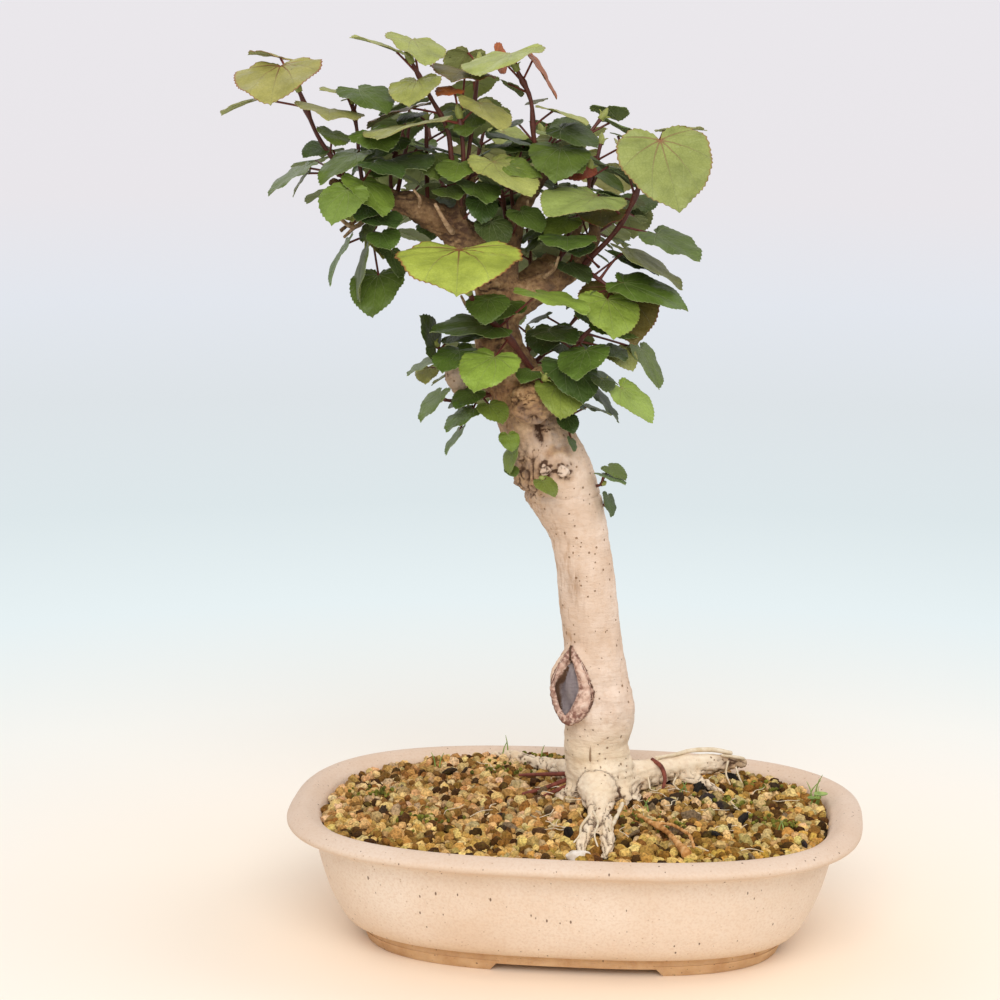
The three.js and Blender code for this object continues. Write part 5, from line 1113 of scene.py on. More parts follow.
# The leaf shoots: dark red stems with a pointed bud at the end and heart-shaped, finely toothed leaves on
# long red stalks. The young leaves are lime with a red edge and red veins, the old ones dull dark green.
# Blades are thin closed skins made point by point, since each has its own curl, waves and toothed edge.
# A shoot: its stem, its thick and thin radius, and its leaves. A leaf: the point where the stalk meets the
# blade, turn, droop, roll in degrees, length, curl, the stalk's place along the stem (0 to 1), and age.
SHOOTS = {
    "left_tip": ([(-141, -20, 469), (-150, -21, 483), (-162, -24, 501), (-172, -29, 527)], (1.9, 1.3), [
        (-183, -32, 542, -90, 14, 8, 46, 1.4, 0.88, "gold"),
        (-184, -26, 547, 160, -15, 10, 22, 1.3, 0.88, "gold"),
        (-197, -20, 522, 160, 10, -5, 30, 1.2, 0.88, "light"),
        (-160, -18, 494, -135, 15, -20, 15, 1.2, 0.43, "dark"),
    ]),
    "left_second": ([(-133, -23, 464), (-136, -26, 486), (-137, -28, 503), (-140, -28, 520)], (1.6, 1.1), [
        (-143, -30, 525, -135, -20, -10, 20, 1, 0.88, "light"),
        (-135, -36, 529, -45, 15, 5, 30, 1.2, 0.88, "mid"),
        (-153, -35, 517, -80, 0, -10, 36, 0.8, 0.85, "light"),
        (-141, -22, 523, 60, -5, -10, 16, 0.6, 0.88, "light"),
    ]),
    "top_left": ([(-80, -24, 487), (-83, -26, 507), (-93, -31, 526), (-103, -34, 545)], (1.9, 1.2), [
        (-112, -37, 552, -155, -25, -5, 30, 1, 0.88, "light"),
        (-103, -34, 559, -65, 15, -10, 32, 1.2, 0.88, "light"),
        (-100, -36, 535, -95, 20, 10, 28, 1.2, 0.73, "light"),
        (-104, -20, 518, 160, 10, -5, 34, 1.4, 0.48, "bronze"),
    ]),
    "top_mid": ([(-74, -19, 474), (-73, -23, 487), (-74, -25, 503), (-75, -28, 513)], (1.8, 1.3), [
        (-78, -32, 530, -125, 5, -10, 15, 1, 0.88, "orange"),
        (-63, -32, 522, -50, 25, -10, 30, 0.5, 0.88, "light"),
        (-73, -15, 517, -85, 25, 10, 26, 1, 0.88, "mid"),
        (-99, -40, 509, -115, 0, 10, 46, 0.9, 0.88, "light"),
        (-74, -10, 540, -95, -5, -10, 34, 1.5, 0.88, "bronze"),
    ]),
    "top_right": ([(-26, 0, 484), (-32, -5, 499), (-34, -9, 523), (-42, -14, 541)], (1.8, 1.2), [
        (-46, -19, 551, -110, 10, 10, 44, 0.6, 0.88, "light"),
        (-33, -7, 548, 0, 55, 0, 28, 0.4, 0.88, "orange"),
        (-21, -6, 517, -35, 5, -10, 28, 1.1, 0.45, "light"), (-22, 6, 501, 60, 0, 10, 26, 1.6, 0.12, "light"),
        (-57, 2, 551, 40, 45, 65, 16, 1.5, 0.88, "orange"),
        (-48, -5, 533, 50, 30, 10, 14, 0.7, 0.76, "olive"),
        (-34, -1, 521, 45, -25, -5, 12, 1.5, 0.51, "olive"),
    ]),
    "mid_front": ([(-74, -23, 460), (-73, -27, 470), (-68, -29, 478), (-63, -30, 482)], (1.3, 1), [
        (-54, -31, 487, -40, 25, 0, 38, 0.4, 0.88, "light"),
        (-82, -32, 471, -60, 10, 10, 18, 0.8, 0.2, "mid"),
    ]),
    "right_tip": ([(-5, -2, 419), (4, -6, 429), (17, -8, 443), (26, -11, 457), (34, -15, 476)], (2.2, 1.4), [
        (45, -20, 501, -65, 45, 8, 50, 0.9, 0.88, "mellow"), (46, 3, 506, 5, -10, -5, 26, 1, 0.88, "light"),
        (19, -6, 503, 30, 15, 5, 16, 0.9, 0.88, "dark"), (7, -23, 467, -125, 0, -10, 44, 1.3, 0.68, "light"),
        (44, -10, 444, -30, 20, 5, 34, 0.5, 0.6, "mid"),
    ]),
    "right_upright": ([(4, 4, 438), (2, 4, 454), (1, 4, 469), (2, 2, 480)], (1.5, 1.2), [
        (-1, 2, 484, -140, 15, -30, 19, 1.2, 0.88, "red"), (12, 11, 483, 55, 15, 10, 34, 1.2, 0.88, "dark"),
        (8, 9, 467, 45, 10, 10, 26, 1.3, 0.48, "mid"), (9, -3, 458, -85, 12, 0, 27, 0.8, 0.4, "bronze"),
        (11, 17, 440, 55, 15, 10, 22, 0.6, 0.12, "mid"),
    ]),
    "right_low": ([(-1, -6, 422), (5, -12, 419), (13, -15, 414), (19, -16, 410)], (1.5, 1.1), [
        (26, -11, 434, -15, 25, -5, 42, 0.7, 0.53, "olive"), (20, -4, 429, 25, 15, 10, 30, 0.9, 0.38, "dark"),
        (25, -22, 415, -10, 10, 10, 42, 1.2, 0.88, "mid"),
        (18, -5, 410, -60, 35, 10, 43, 1.1, 0.88, "bronze"),
        (16, -33, 406, -75, 30, -10, 33, 0.9, 0.88, "fresh"),
    ]),
    "front": ([(-28, -16, 357), (-45, -35, 384), (-59, -54, 399), (-64, -63, 411)], (2.3, 1.4), [
        (-70, -67, 437, -85, 7, 1, 64, 1.2, 0.88, "lime"),
        (-24, -52, 411, -35, 8, -5, 39, 0.6, 0.43, "fresh"),
        (-51, -39, 389, -160, -5, -10, 40, 1, 0.3, "mid"), (-50, -51, 372, -110, 25, -5, 32, 1, 0.3, "fresh"),
        (-46, -30, 403, -115, 10, -10, 28, 1.4, 0.3, "mid"),
    ]),
    "front_right": ([(-16, -16, 363), (-8, -21, 371), (-1, -26, 380), (10, -31, 392)], (1.8, 1.2), [
        (4, -40, 376, -100, 25, 10, 28, 0.8, 0.63, "mid"), (15, -21, 376, -40, 15, 0, 18, 0.9, 0.66, "dark"),
        (21, -12, 373, -45, 25, 10, 18, 1.5, 0.66, "light"), (35, 3, 372, -35, 52, -15, 28, 0.5, 0.8, "mid"),
        (-19, -32, 386, -45, 0, 10, 24, 1.4, 0.46, "dark"),
    ]),
    "low_right": ([(-15, -16, 358), (-6, -21, 360), (3, -24, 358), (12, -27, 356)], (1.6, 1.1), [
        (25, -28, 352, -20, 38, 6, 29, 0.5, 0.88, "fresh"), (8, -19, 349, -5, 45, 0, 25, 0.6, 0.71, "dark"),
        (-8, -31, 366, -60, 30, -5, 32, 1.1, 0.23, "dark"),
    ]),
    "low_front": ([(-26, -22, 345), (-25, -30, 350), (-23, -36, 355), (-21, -41, 358)], (1.5, 1.1), [
        (-12, -33, 354, -80, 30, -10, 27, 1.4, 0.51, "fresh"),
        (-29, -37, 362, -110, 10, -10, 14, 1.5, 0.68, "mid"),
    ]),
    "left_mid": ([(-80, -14, 357), (-82, -18, 364), (-84, -20, 369), (-88, -23, 374)], (1.4, 1), [
        (-89, -25, 374, -115, -60, -75, 24, 0.9, 0.88, "dark"),
        (-78, -30, 382, -25, -10, 20, 21, 1.2, 0.86, "dark"),
        (-91, -24, 366, -150, 25, 5, 19, 0.4, 0.48, "mid"), (-95, -9, 359, -95, 30, 10, 14, 1, 0.12, "light"),
    ]),
    "left_low": ([(-54, -12, 344), (-74, -21, 341), (-80, -24, 341), (-84, -26, 342)], (1.5, 1), [
        (-84, -40, 348, -140, 40, 10, 22, 1.1, 0.88, "mid"),
        (-65, -29, 347, -125, 20, -5, 18, 0.8, 0.13, "mid"),
        (-65, -31, 337, -140, 25, 5, 23, 0.8, 0.15, "mid"),
        (-74, -21, 322, -135, 45, 25, 18, 0.7, 0.23, "mid"),
        (-54, -38, 341, -50, 25, 10, 17, 1.2, 0.12, "green"),
    ]),
    "trunk_left": ([(-38, -18, 309), (-40, -22, 312), (-41, -24, 315)], (1.2, 0.9), [
        (-43, -32, 322, -60, 50, 5, 11.5, 0.8, 0.88, "green"),
        (-41, -27, 312, -115, 60, 32, 15, 1.3, 0.88, "green"),
        (-42, -24, 300, -60, 25, 10, 8, 0.8, 0.12, "mid"),
    ]),
    "trunk_front": ([(-19, -22, 297), (-19, -32, 295), (-21, -34, 296)], (1.2, 0.9), [
        (-21.5, -36, 295, -35, 30, 10, 13.5, 1.1, 0.88, "green"),
    ]),
    "trunk_right": ([(7, -5, 287), (11, -7, 288), (13, -7, 289)], (1.2, 0.9), [
        (17.5, -8, 300, -30, 18, 8, 14, 1.4, 0.88, "mid"),
        (14.5, -13, 296, -30, 10, -8, 17, 0.6, 0.88, "mid"),
    ]),
    "trunk_right_low": ([(14, -1, 274), (15, 0, 276)], (1.1, 0.9), [
        (17, -5, 281, -60, 58, -38, 13.5, 0.6, 0.88, "dark"),
    ]),
    "under_right": ([(-12, -13, 329), (-9, -17, 331)], (1.2, 0.9), [
        (-8.5, -22, 332, -55, 35, 10, 12, 1.2, 0.88, "dark"),
        (-5, -24, 319, -60, 50, -35, 8.5, 0.6, 0.88, "dark"),
    ]),
    "left_bough_end": ([(-133, -27, 464), (-139, -32, 471), (-144, -34, 476), (-149, -35, 480)], (1.6, 1.1), [
        (-136, -42, 491, -140, 25, 0, 30, 1.1, 0.78, "mid"),
        (-168, -31, 482, -150, 25, 5, 29, 1.1, 0.88, "mid"),
        (-168, -23, 478, -175, 45, -5, 17, 1.5, 0.88, "olive"),
        (-167, 2, 484, 120, 10, -10, 24, 0.7, 0.88, "mid"),
    ]),
    "left_front": ([(-118, -27, 462), (-124, -40, 466), (-129, -45, 470), (-134, -47, 472)], (1.5, 1.1), [
        (-130, -50, 475, -50, 30, -10, 30, 0.9, 0.8, "green"),
        (-137, -66, 471, -110, 32, -5, 26, 1.6, 0.88, "green"),
        (-142, -40, 462, -70, 25, 10, 20, 0.6, 0.88, "light"),
        (-125, -49, 461, -115, 15, -10, 17, 1.5, 0.36, "dark"),
        (-122, -48, 455, -50, 10, 10, 22, 0.5, 0.23, "dark"),
    ]),
    "left_back": ([(-117, -20, 467), (-118, -18, 475), (-117, -16, 483), (-115, -13, 491)], (1.5, 1), [
        (-116, -26, 487, -50, -5, 10, 36, 1.3, 0.55, "dark"),
        (-117, -16, 499, -125, 15, -10, 26, 1.3, 0.88, "dark"),
        (-111, 23, 519, 130, 15, -10, 30, 0.8, 0.88, "mid"),
        (-98, 19, 492, 55, 10, 10, 28, 0.5, 0.88, "dark"),
    ]),
    "left_hang": ([(-121, -26, 456), (-125, -30, 448), (-128, -33, 441)], (1.5, 1), [
        (-142, -36, 437, -140, 50, 25, 28, 1.4, 0.88, "mid"),
        (-130, -35, 435, -120, 65, 45, 34, 0.9, 0.88, "mid"),
        (-124, -26, 417, -95, 40, 10, 30, 1.2, 0.88, "mid"),
        (-127, -39, 449, -125, 45, 15, 13, 1, 0.58, "dark"),
        (-125, -27, 436, -50, 35, -20, 12, 1, 0.88, "light"),
        (-116, -26, 432, -60, 45, -30, 20, 0.4, 0.88, "dark"),
    ]),
    "mid_back": ([(-45, 5, 455), (-47, 12, 466), (-46, 17, 476), (-44, 19, 484)], (1.5, 1), [
        (-40, 17, 496, -130, -15, -10, 32, 0.7, 0.88, "dark"),
        (-54, 27, 494, -40, 0, 5, 28, 0.9, 0.88, "mid"), (-22, 48, 496, -85, 25, 0, 30, 1.4, 0.88, "olive"),
        (-12, 37, 502, 115, -25, -10, 22, 0.4, 0.88, "dark"),
    ]),
}
# The shoots behind and inside the crown grow by one rule. Each row: where it leaves the wood, its turn, rise
# and length, its largest leaf, its age, and for each leaf how far that is turned aside, to stand clear of
# the others. None is a leaf that has no room.
FILLING = {
    "back_left_end": ((-92, 58, 456), 120, 45, 46, 40, "mid", (0, -26, 0, 0)),
    "back_left_low": ((-80, 42, 436), 150, 15, 44, 34, "dark", (0, 0, 0)),
    "back_left_high": ((-84, 48, 442), 60, 60, 56, 40, "light", (0, -110, 0, -26)),
    "back_right_end": ((-6, 52, 448), 75, 45, 46, 42, "light", (0, -80, 0, 0)),
    "back_right_side": ((-18, 42, 428), 15, 20, 48, 36, "mid", (52, -80, 0)),
    "back_right_high": ((-12, 47, 438), 140, 60, 54, 38, "mid", (0, 80, None, -110)),
    "back_right_low": ((-36, 24, 412), 95, 5, 42, 32, "dark", (0, -52, 52)),
    "inner_left": ((-95, -19, 455), 100, 55, 50, 30, "dark", (-26, None, 0, 80)),
    "inner_middle": ((-46, 3, 434), 110, 45, 48, 30, "dark", (0, -26, 0, 0)),
    "inner_right": ((-23, -4, 411), 60, 45, 42, 28, "mid", (0, 0, 0)),
    "low_back": ((-34, -5, 335), 95, 25, 58, 34, "mid", (0, -110, 0, 0)),
    "low_back_right": ((-43, -6, 353), 40, 25, 52, 30, "dark", (-52, 80, 0)),
    "low_back_left": ((-30, -5, 326), 150, 25, 54, 32, "mid", (-26, -110, 52)),
    "left_bough_back": ((-114, -23, 463), 85, 40, 46, 34, "mid", (26, -26, 110, None)),
    "top_back": ((-75, -18, 456), 75, 68, 74, 38, "light", (None, -110, 110, 0)),
    "top_right_back": ((-32, 2, 470), 20, 35, 50, 34, "mid", (-110, None, 80, 0)),
}
ODD_STALKS = {("back_right_side", 0): 0.7, ("left_bough_back", 2): 1.35}
STEM_LIFT, FIRST_LEAF, LEAF_TURN, STALK_SHARE, STALK_RISE = 0.25, 0.42, 137.5, 0.62, 30


def steady_draws(state):
    """Draws from 0 to 1 that are the same each run, and the same as those the solids were grown from."""
    while True:
        state = (state + 0x6D2B79F5) & 0xFFFFFFFF
        mixed = ((state ^ (state >> 15)) * (1 | state)) & 0xFFFFFFFF
        mixed = ((mixed + (((mixed ^ (mixed >> 7)) * (61 | mixed)) & 0xFFFFFFFF)) & 0xFFFFFFFF) ^ mixed
        yield ((mixed ^ (mixed >> 14)) & 0xFFFFFFFF) / 2**32


def direction(turn, rise):
    turn, rise = math.radians(turn), math.radians(rise)
    return np.array([math.cos(turn) * math.cos(rise), math.sin(turn) * math.cos(rise), math.sin(rise)])


def point_on(path, share):
    at = share * (len(path) - 1)
    k = min(int(at), len(path) - 2)
    return path[k] + (path[k + 1] - path[k]) * (at - k)


def to_tenths(points):
    return [tuple(round(float(c), 1) for c in point) for point in points]


def grown_shoot(name, draws):
    """A shoot of FILLING: a stem that lifts towards its end, with leaves a fixed turn apart."""
    start, lean, rise, reach, size, age, swings = FILLING[name]
    stem = []
    for share in (0, 0.34, 0.67, 1):
        stem.append(np.array(start) + reach * share * (direction(lean, rise) + [0, 0, STEM_LIFT * share]))
    leaves = []
    for k, swing in enumerate(swings):
        share = FIRST_LEAF + (1 - FIRST_LEAF) * k / (len(swings) - 1)
        end_size = 0.75 if k == len(swings) - 1 else 1
        length = int(size * (0.72 + 0.28 * next(draws)) * end_size + 0.5)
        droop, roll = round(12 + 26 * next(draws)), round(24 * (next(draws) - 0.5))
        curl = round(0.4 + 1.2 * next(draws), 1)
        if swing is None:
            continue
        turn = lean + LEAF_TURN * k + swing
        stalk = STALK_SHARE * length * ODD_STALKS.get((name, k), 1)
        (at,) = to_tenths([point_on(stem, share) + stalk * direction(turn, STALK_RISE)])
        leaves.append((*at, round((turn + 180) % 360 - 180), droop, roll, length, curl, round(share, 2), age))
    return to_tenths(stem), (1.7, 1.1), leaves


draws = steady_draws(3399792562)
SHOOTS.update({name: grown_shoot(name, draws) for name in FILLING})
# Ages of a leaf: its colour, and how young it is from 0 to 1, which gives the red veins and edge.
AGES = {
    "orange": ("b4622e", 1.0), "red": ("964a36", 1.0), "bronze": ("74652f", 0.8), "gold": ("b0aa60", 0.8),
    "lime": ("b6c44e", 0.7), "light": ("acb062", 0.45), "fresh": ("9bab4b", 0.4), "green": ("788b38", 0.25),
    "mellow": ("999d57", 0.55), "olive": ("72753a", 0.3), "mid": ("617530", 0.15), "dark": ("4a5c2a", 0.05),
}
HEART = [
    (0, 0), (-0.09, 0.05), (-0.165, 0.16), (-0.18, 0.3), (-0.12, 0.44), (0.01, 0.54), (0.17, 0.575),
    (0.34, 0.555), (0.51, 0.495), (0.67, 0.4), (0.8, 0.28), (0.9, 0.15), (0.957, 0.055), (1, 0),
]
BLADE_HALF_THICKNESS = 0.27
TOP, UNDERSIDE, STEM, RIB, BUD_SCALE = range(5)
VEIN_ANGLES = (0, 33, 68, 112)


def heart_half(teeth):
    """One half of the outline from the notch to the tip, with teeth that lean towards the tip."""
    smooth = curve_through([np.array(row, float) for row in HEART], 12)
    lengths = np.concatenate([[0], np.cumsum(np.linalg.norm(np.diff(smooth, axis=0), axis=1))])
    places = np.linspace(0, lengths[-1], 2 * teeth + 1)
    row = np.stack([np.interp(places, lengths, smooth[:, i]) for i in (0, 1)], 1)
    ahead = np.gradient(row, axis=0)
    ahead /= np.linalg.norm(ahead, axis=1, keepdims=True)
    outward = np.stack([-ahead[:, 1], ahead[:, 0]], 1)
    tooth = 0.5 / teeth
    row[3:-2:2] += tooth * (0.85 * outward[3:-2:2] + 0.8 * ahead[3:-2:2])
    row[:, 1] = np.maximum(row[:, 1], 0)
    row[0] = 0, 0
    row[-1] = 1, 0
    return row


def blade_sheet(teeth, levels):
    """A flat blade: rows of (along, across, share from rib to edge, way round), its faces and its rim."""
    half = heart_half(teeth)
    spots, squares, rims = [], [], []
    for side in (1, -1):
        start = len(spots)
        for k, (u, v) in enumerate(half):
            hub = max(0, (u - 0.08) / 0.92)
            for s in levels:
                spots.append((hub + s * (u - hub), side * s * v, s, side * k / len(half)))
        wide = len(levels)
        for k in range(len(half) - 1):
            for i in range(wide - 1):
                a = start + k * wide + i
                square = (a, a + 1, a + wide + 1, a + wide)
                squares.append(square[::-1] if side > 0 else square)
        rims.append([start + k * wide + wide - 1 for k in range(len(half))])
    spots = np.array(spots)
    _, first, same = np.unique(np.round(spots[:, :2], 5), axis=0, return_index=True, return_inverse=True)
    same = same.ravel()
    faces = []
    for square in squares:
        corners = list(dict.fromkeys(same[i] for i in square))
        if len(corners) > 2:
            faces.append(tuple(corners))
    rim = list(dict.fromkeys(same[i] for i in rims[1] + rims[0][::-1]))
    return spots[first], faces, rim


SHEETS = {
    "large": blade_sheet(25, (0, 0.2, 0.42, 0.66, 0.88, 1)),
    "medium": blade_sheet(19, (0, 0.25, 0.55, 0.85, 1)),
    "small": blade_sheet(14, (0, 0.4, 0.82, 1)),
}


def leaf_axes(turn, droop, roll):
    turn, droop, roll = (math.radians(angle) for angle in (turn, droop, roll))
    along = np.array([math.cos(turn) * math.cos(droop), math.sin(turn) * math.cos(droop), -math.sin(droop)])
    level = np.array([0, 0, 1]) - along * along[2]
    level /= np.linalg.norm(level)
    left = np.cross(level, along)
    normal = level * math.cos(roll) - left * math.sin(roll)
    across = left * math.cos(roll) + level * math.sin(roll)
    return along, across, normal


def lie(u, v, curl):
    """How far a blade of length 1 stands above its own flat plane: keel, sagging tip and quilting."""
    angle = np.degrees(np.arctan2(np.abs(v), u))
    away = np.hypot(u, v)
    quilt = 0.012 * np.cos(2 * math.pi * angle / 34) * gentle(away, 0.05, 0.3)
    return 0.13 * np.sqrt(v**2 + 0.001) - 0.2 * v**2 - 0.16 * curl * np.maximum(u, 0) ** 2 - quilt


class Shoot:
    """Gathers the points, faces, kinds and point values of one shoot."""

    def __init__(self):
        self.points, self.faces, self.kinds, self.blade, self.colour, self.youth = [], [], [], [], [], []
        self.count = 0

    def take(self, points, faces, kind, blade, colour, youth):
        self.points.append(np.asarray(points))
        self.faces.extend(tuple(self.count + i for i in face) for face in faces)
        self.kinds.extend([kind] * len(faces))
        self.blade.append(blade)
        self.colour.append(np.tile(colour, (len(points), 1)))
        self.youth.append(np.full(len(points), youth))
        self.count += len(points)


def add_rod(shoot, path, radii, sides, kind, colour, youth):
    points, faces = tube(np.array(path), radii, sides)
    shoot.take(points, faces, kind, np.zeros((len(points), 3)), colour, youth)


def add_leaf(shoot, leaf, stem, source):
    x, y, z, turn, droop, roll, length, curl, share, age = leaf
    along, across, normal = leaf_axes(turn, droop, roll)
    at = np.array([x, y, z], float)
    kind = "large" if length >= 42 else "medium" if length >= 27 else "small"
    spots, faces, rim = SHEETS[kind]
    code, youth = AGES[age]
    colour = np.array(linear(code)) * [*(1 + 0.16 * (source.random(3) - 0.5)), 1]
    colour[:3] *= 0.9 + 0.2 * source.random()
    u, v, s, way = spots.T
    beat, phase = 2 + 2 * source.random(), 6.28 * source.random()
    wave = 0.022 * s**2 * np.sin(2 * math.pi * beat * way + phase) * gentle(np.abs(way), 0, 0.15)
    twist = 0.08 * (source.random() - 0.5) * u * v
    rise = lie(u, v, curl) + wave + twist
    flat = at + length * (u[:, None] * along + v[:, None] * across + rise[:, None] * normal)
    count = len(spots)
    thin = BLADE_HALF_THICKNESS * (1 - 0.55 * s[:, None])
    points = np.concatenate([flat + thin * normal, flat - thin * normal])
    blade = np.concatenate([spots[:, :3], spots[:, :3]])
    shoot.take(points, faces, TOP, blade, colour, youth)
    start = shoot.count - 2 * count
    under = [tuple(start + count + i for i in reversed(face)) for face in faces]
    shoot.faces.extend(under)
    shoot.kinds.extend([UNDERSIDE] * len(under))
    for a, b in zip(rim, rim[1:] + rim[:1]):
        shoot.faces.append((start + a, start + count + a, start + count + b, start + b))
        shoot.kinds.append(UNDERSIDE)
    # Ribs stand out beneath the blade; the middle one is the stalk run on to the tip.
    for angle in VEIN_ANGLES[: {"large": 3, "medium": 2, "small": 1}[kind]]:
        for side in (1, -1) if angle else (1,):
            far = {0: 0.9, 33: 0.62, 68: 0.48}[angle]
            steps = np.linspace(0, far, 9)
            ru = steps * math.cos(math.radians(angle))
            rv = side * steps * math.sin(math.radians(angle))
            path = at + length * (
                ru[:, None] * along + rv[:, None] * across + lie(ru, rv, curl)[:, None] * normal
            )
            thick = (0.62 if angle == 0 else 0.42) * (length / 60) ** 0.5
            radii = thick * (1 - 0.75 * steps / far)
            path = path - normal * (BLADE_HALF_THICKNESS + 0.25 * radii)[:, None]
            add_rod(shoot, path, radii, 5, RIB, colour, youth)
    start_at = point_on(stem, share)
    middle = start_at + 0.55 * (at - start_at) + [
        0, 0, 0.1 * np.linalg.norm(at - start_at) * (kind == "large")
    ]
    stalk = curve_through([start_at, middle, at - normal * 0.3], 5)
    thick = 0.8 if kind == "large" else 0.68
    swell = 1 + 0.5 * bell(np.linspace(0, 1, len(stalk)) / 0.09)
    swell += 0.25 * bell((np.linspace(0, 1, len(stalk)) - 1) / 0.07)
    add_rod(shoot, stalk, thick * swell, 8, STEM, colour, 0.35 + 0.65 * youth)


def add_bud(shoot, stem, radius):
    """A pointed end bud between two curved stipules."""
    end = stem[-1]
    ahead = (end - stem[-2]) / np.linalg.norm(end - stem[-2])
    side = np.cross(ahead, [0.3, 1, 0.2])
    side /= np.linalg.norm(side)
    colour, youth = np.array(linear("a9b264")), 0.6
    size = 1 if radius > 0.95 else 0.4
    shares = np.linspace(0, 1, 8)
    bud = [end + ahead * 8.5 * size * share + side * 0.8 * size * share**2 for share in shares]
    add_rod(
        shoot, bud, 1.9 * radius * np.sin(math.pi * (0.22 + 0.75 * shares)) ** 0.8 + 0.1, 8, BUD_SCALE,
        colour, youth,
    )
    for turn in (1, -1):
        stipule = [
            end + size * (ahead * (7 * share - 2.5 * share**3) + turn * side * (1.2 + 3.2 * share**2))
            for share in shares
        ]
        add_rod(shoot, stipule, 0.9 * (1 - 0.85 * shares) + 0.12, 6, BUD_SCALE, colour, youth)


def make_shoot(name, stem, radii, leaves, materials, seed):
    source = np.random.default_rng(seed)
    shoot = Shoot()
    stem = [np.array(point, float) for point in stem]
    path = curve_through(stem, 5)
    radius = 0.88 * np.linspace(radii[0], radii[1], len(path))
    for leaf in leaves:
        place = leaf[8] * (len(path) - 1)
        radius += 0.4 * bell((np.arange(len(path)) - place) / 0.8)
    add_rod(shoot, path, radius, 10, STEM, np.array(linear("6b4630")), 0.3)
    for leaf in leaves:
        add_leaf(shoot, leaf, stem, source)
    add_bud(shoot, stem, radii[1])
    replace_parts(finish_shoot(shoot, name + "_shoot", materials), "shoot_" + name)


def finish_shoot(shoot, name, materials):
    piece = new_piece(name, np.concatenate(shoot.points), shoot.faces)
    for material in materials:
        piece.data.materials.append(material)
    piece.data.polygons.foreach_set("material_index", shoot.kinds)
    blade = piece.data.attributes.new("on_blade", "FLOAT_VECTOR", "POINT")
    blade.data.foreach_set("vector", np.concatenate(shoot.blade).ravel())
    own = piece.data.attributes.new("own_colour", "FLOAT_COLOR", "POINT")
    own.data.foreach_set("color", np.clip(np.concatenate(shoot.colour), 0, 1).ravel())
    record_value(piece, "youth", np.concatenate(shoot.youth))
    only(piece)
    bpy.ops.object.shade_smooth_by_angle(angle=math.radians(50))
    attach(piece, "root")
    return piece


def vein_lines(tree, u, v, width):
    """Veins of a blade: main ones that fan out from the stalk and curve forwards, with side ones off them."""
    main, side, best = None, None, None
    across = add(tree, "Math.ABSOLUTE", v)
    for angle in VEIN_ANGLES:
        c, s = math.cos(math.radians(angle)), math.sin(math.radians(angle))
        along = add(tree, "Math.ADD", add(tree, "Math.MULTIPLY", u, c), add(tree, "Math.MULTIPLY", across, s))
        off = add(
            tree, "Math.SUBTRACT", add(tree, "Math.MULTIPLY", u, s), add(tree, "Math.MULTIPLY", across, c)
        )
        if angle:
            off = add(tree, "Math.MULTIPLY_ADD", add(tree, "Math.MULTIPLY", along, along), -0.28, off)
        off = add(tree, "Math.ABSOLUTE", off)
        off = add(tree, "Math.MULTIPLY_ADD", add(tree, "Math.LESS_THAN", along, 0.0), 9.0, off)
        thick = add(
            tree, "Math.MAXIMUM", add(tree, "Math.MULTIPLY_ADD", along, -0.9 * width, width), 0.3 * width
        )
        line = add(tree, "MapRange.SMOOTHSTEP", add(tree, "Math.DIVIDE", off, thick), 1.5, 0.4)
        feather = add(tree, "Math.MULTIPLY_ADD", off, -1.25, along)
        if main is None:
            main, side, best = line, feather, off
        else:
            nearer = add(tree, "Math.LESS_THAN", off, best)
            side = add(tree, "Math.MULTIPLY_ADD", nearer, add(tree, "Math.SUBTRACT", feather, side), side)
            best = add(tree, "Math.MINIMUM", best, off)
            main = add(tree, "Math.MAXIMUM", main, line)
    beat = add(tree, "Math.FRACT", add(tree, "Math.DIVIDE", side, 0.17))
    wave = add(tree, "Math.ABSOLUTE", add(tree, "Math.SUBTRACT", beat, 0.5))
    return main, add(tree, "MapRange.SMOOTHSTEP", wave, 0.08, 0.01), wave


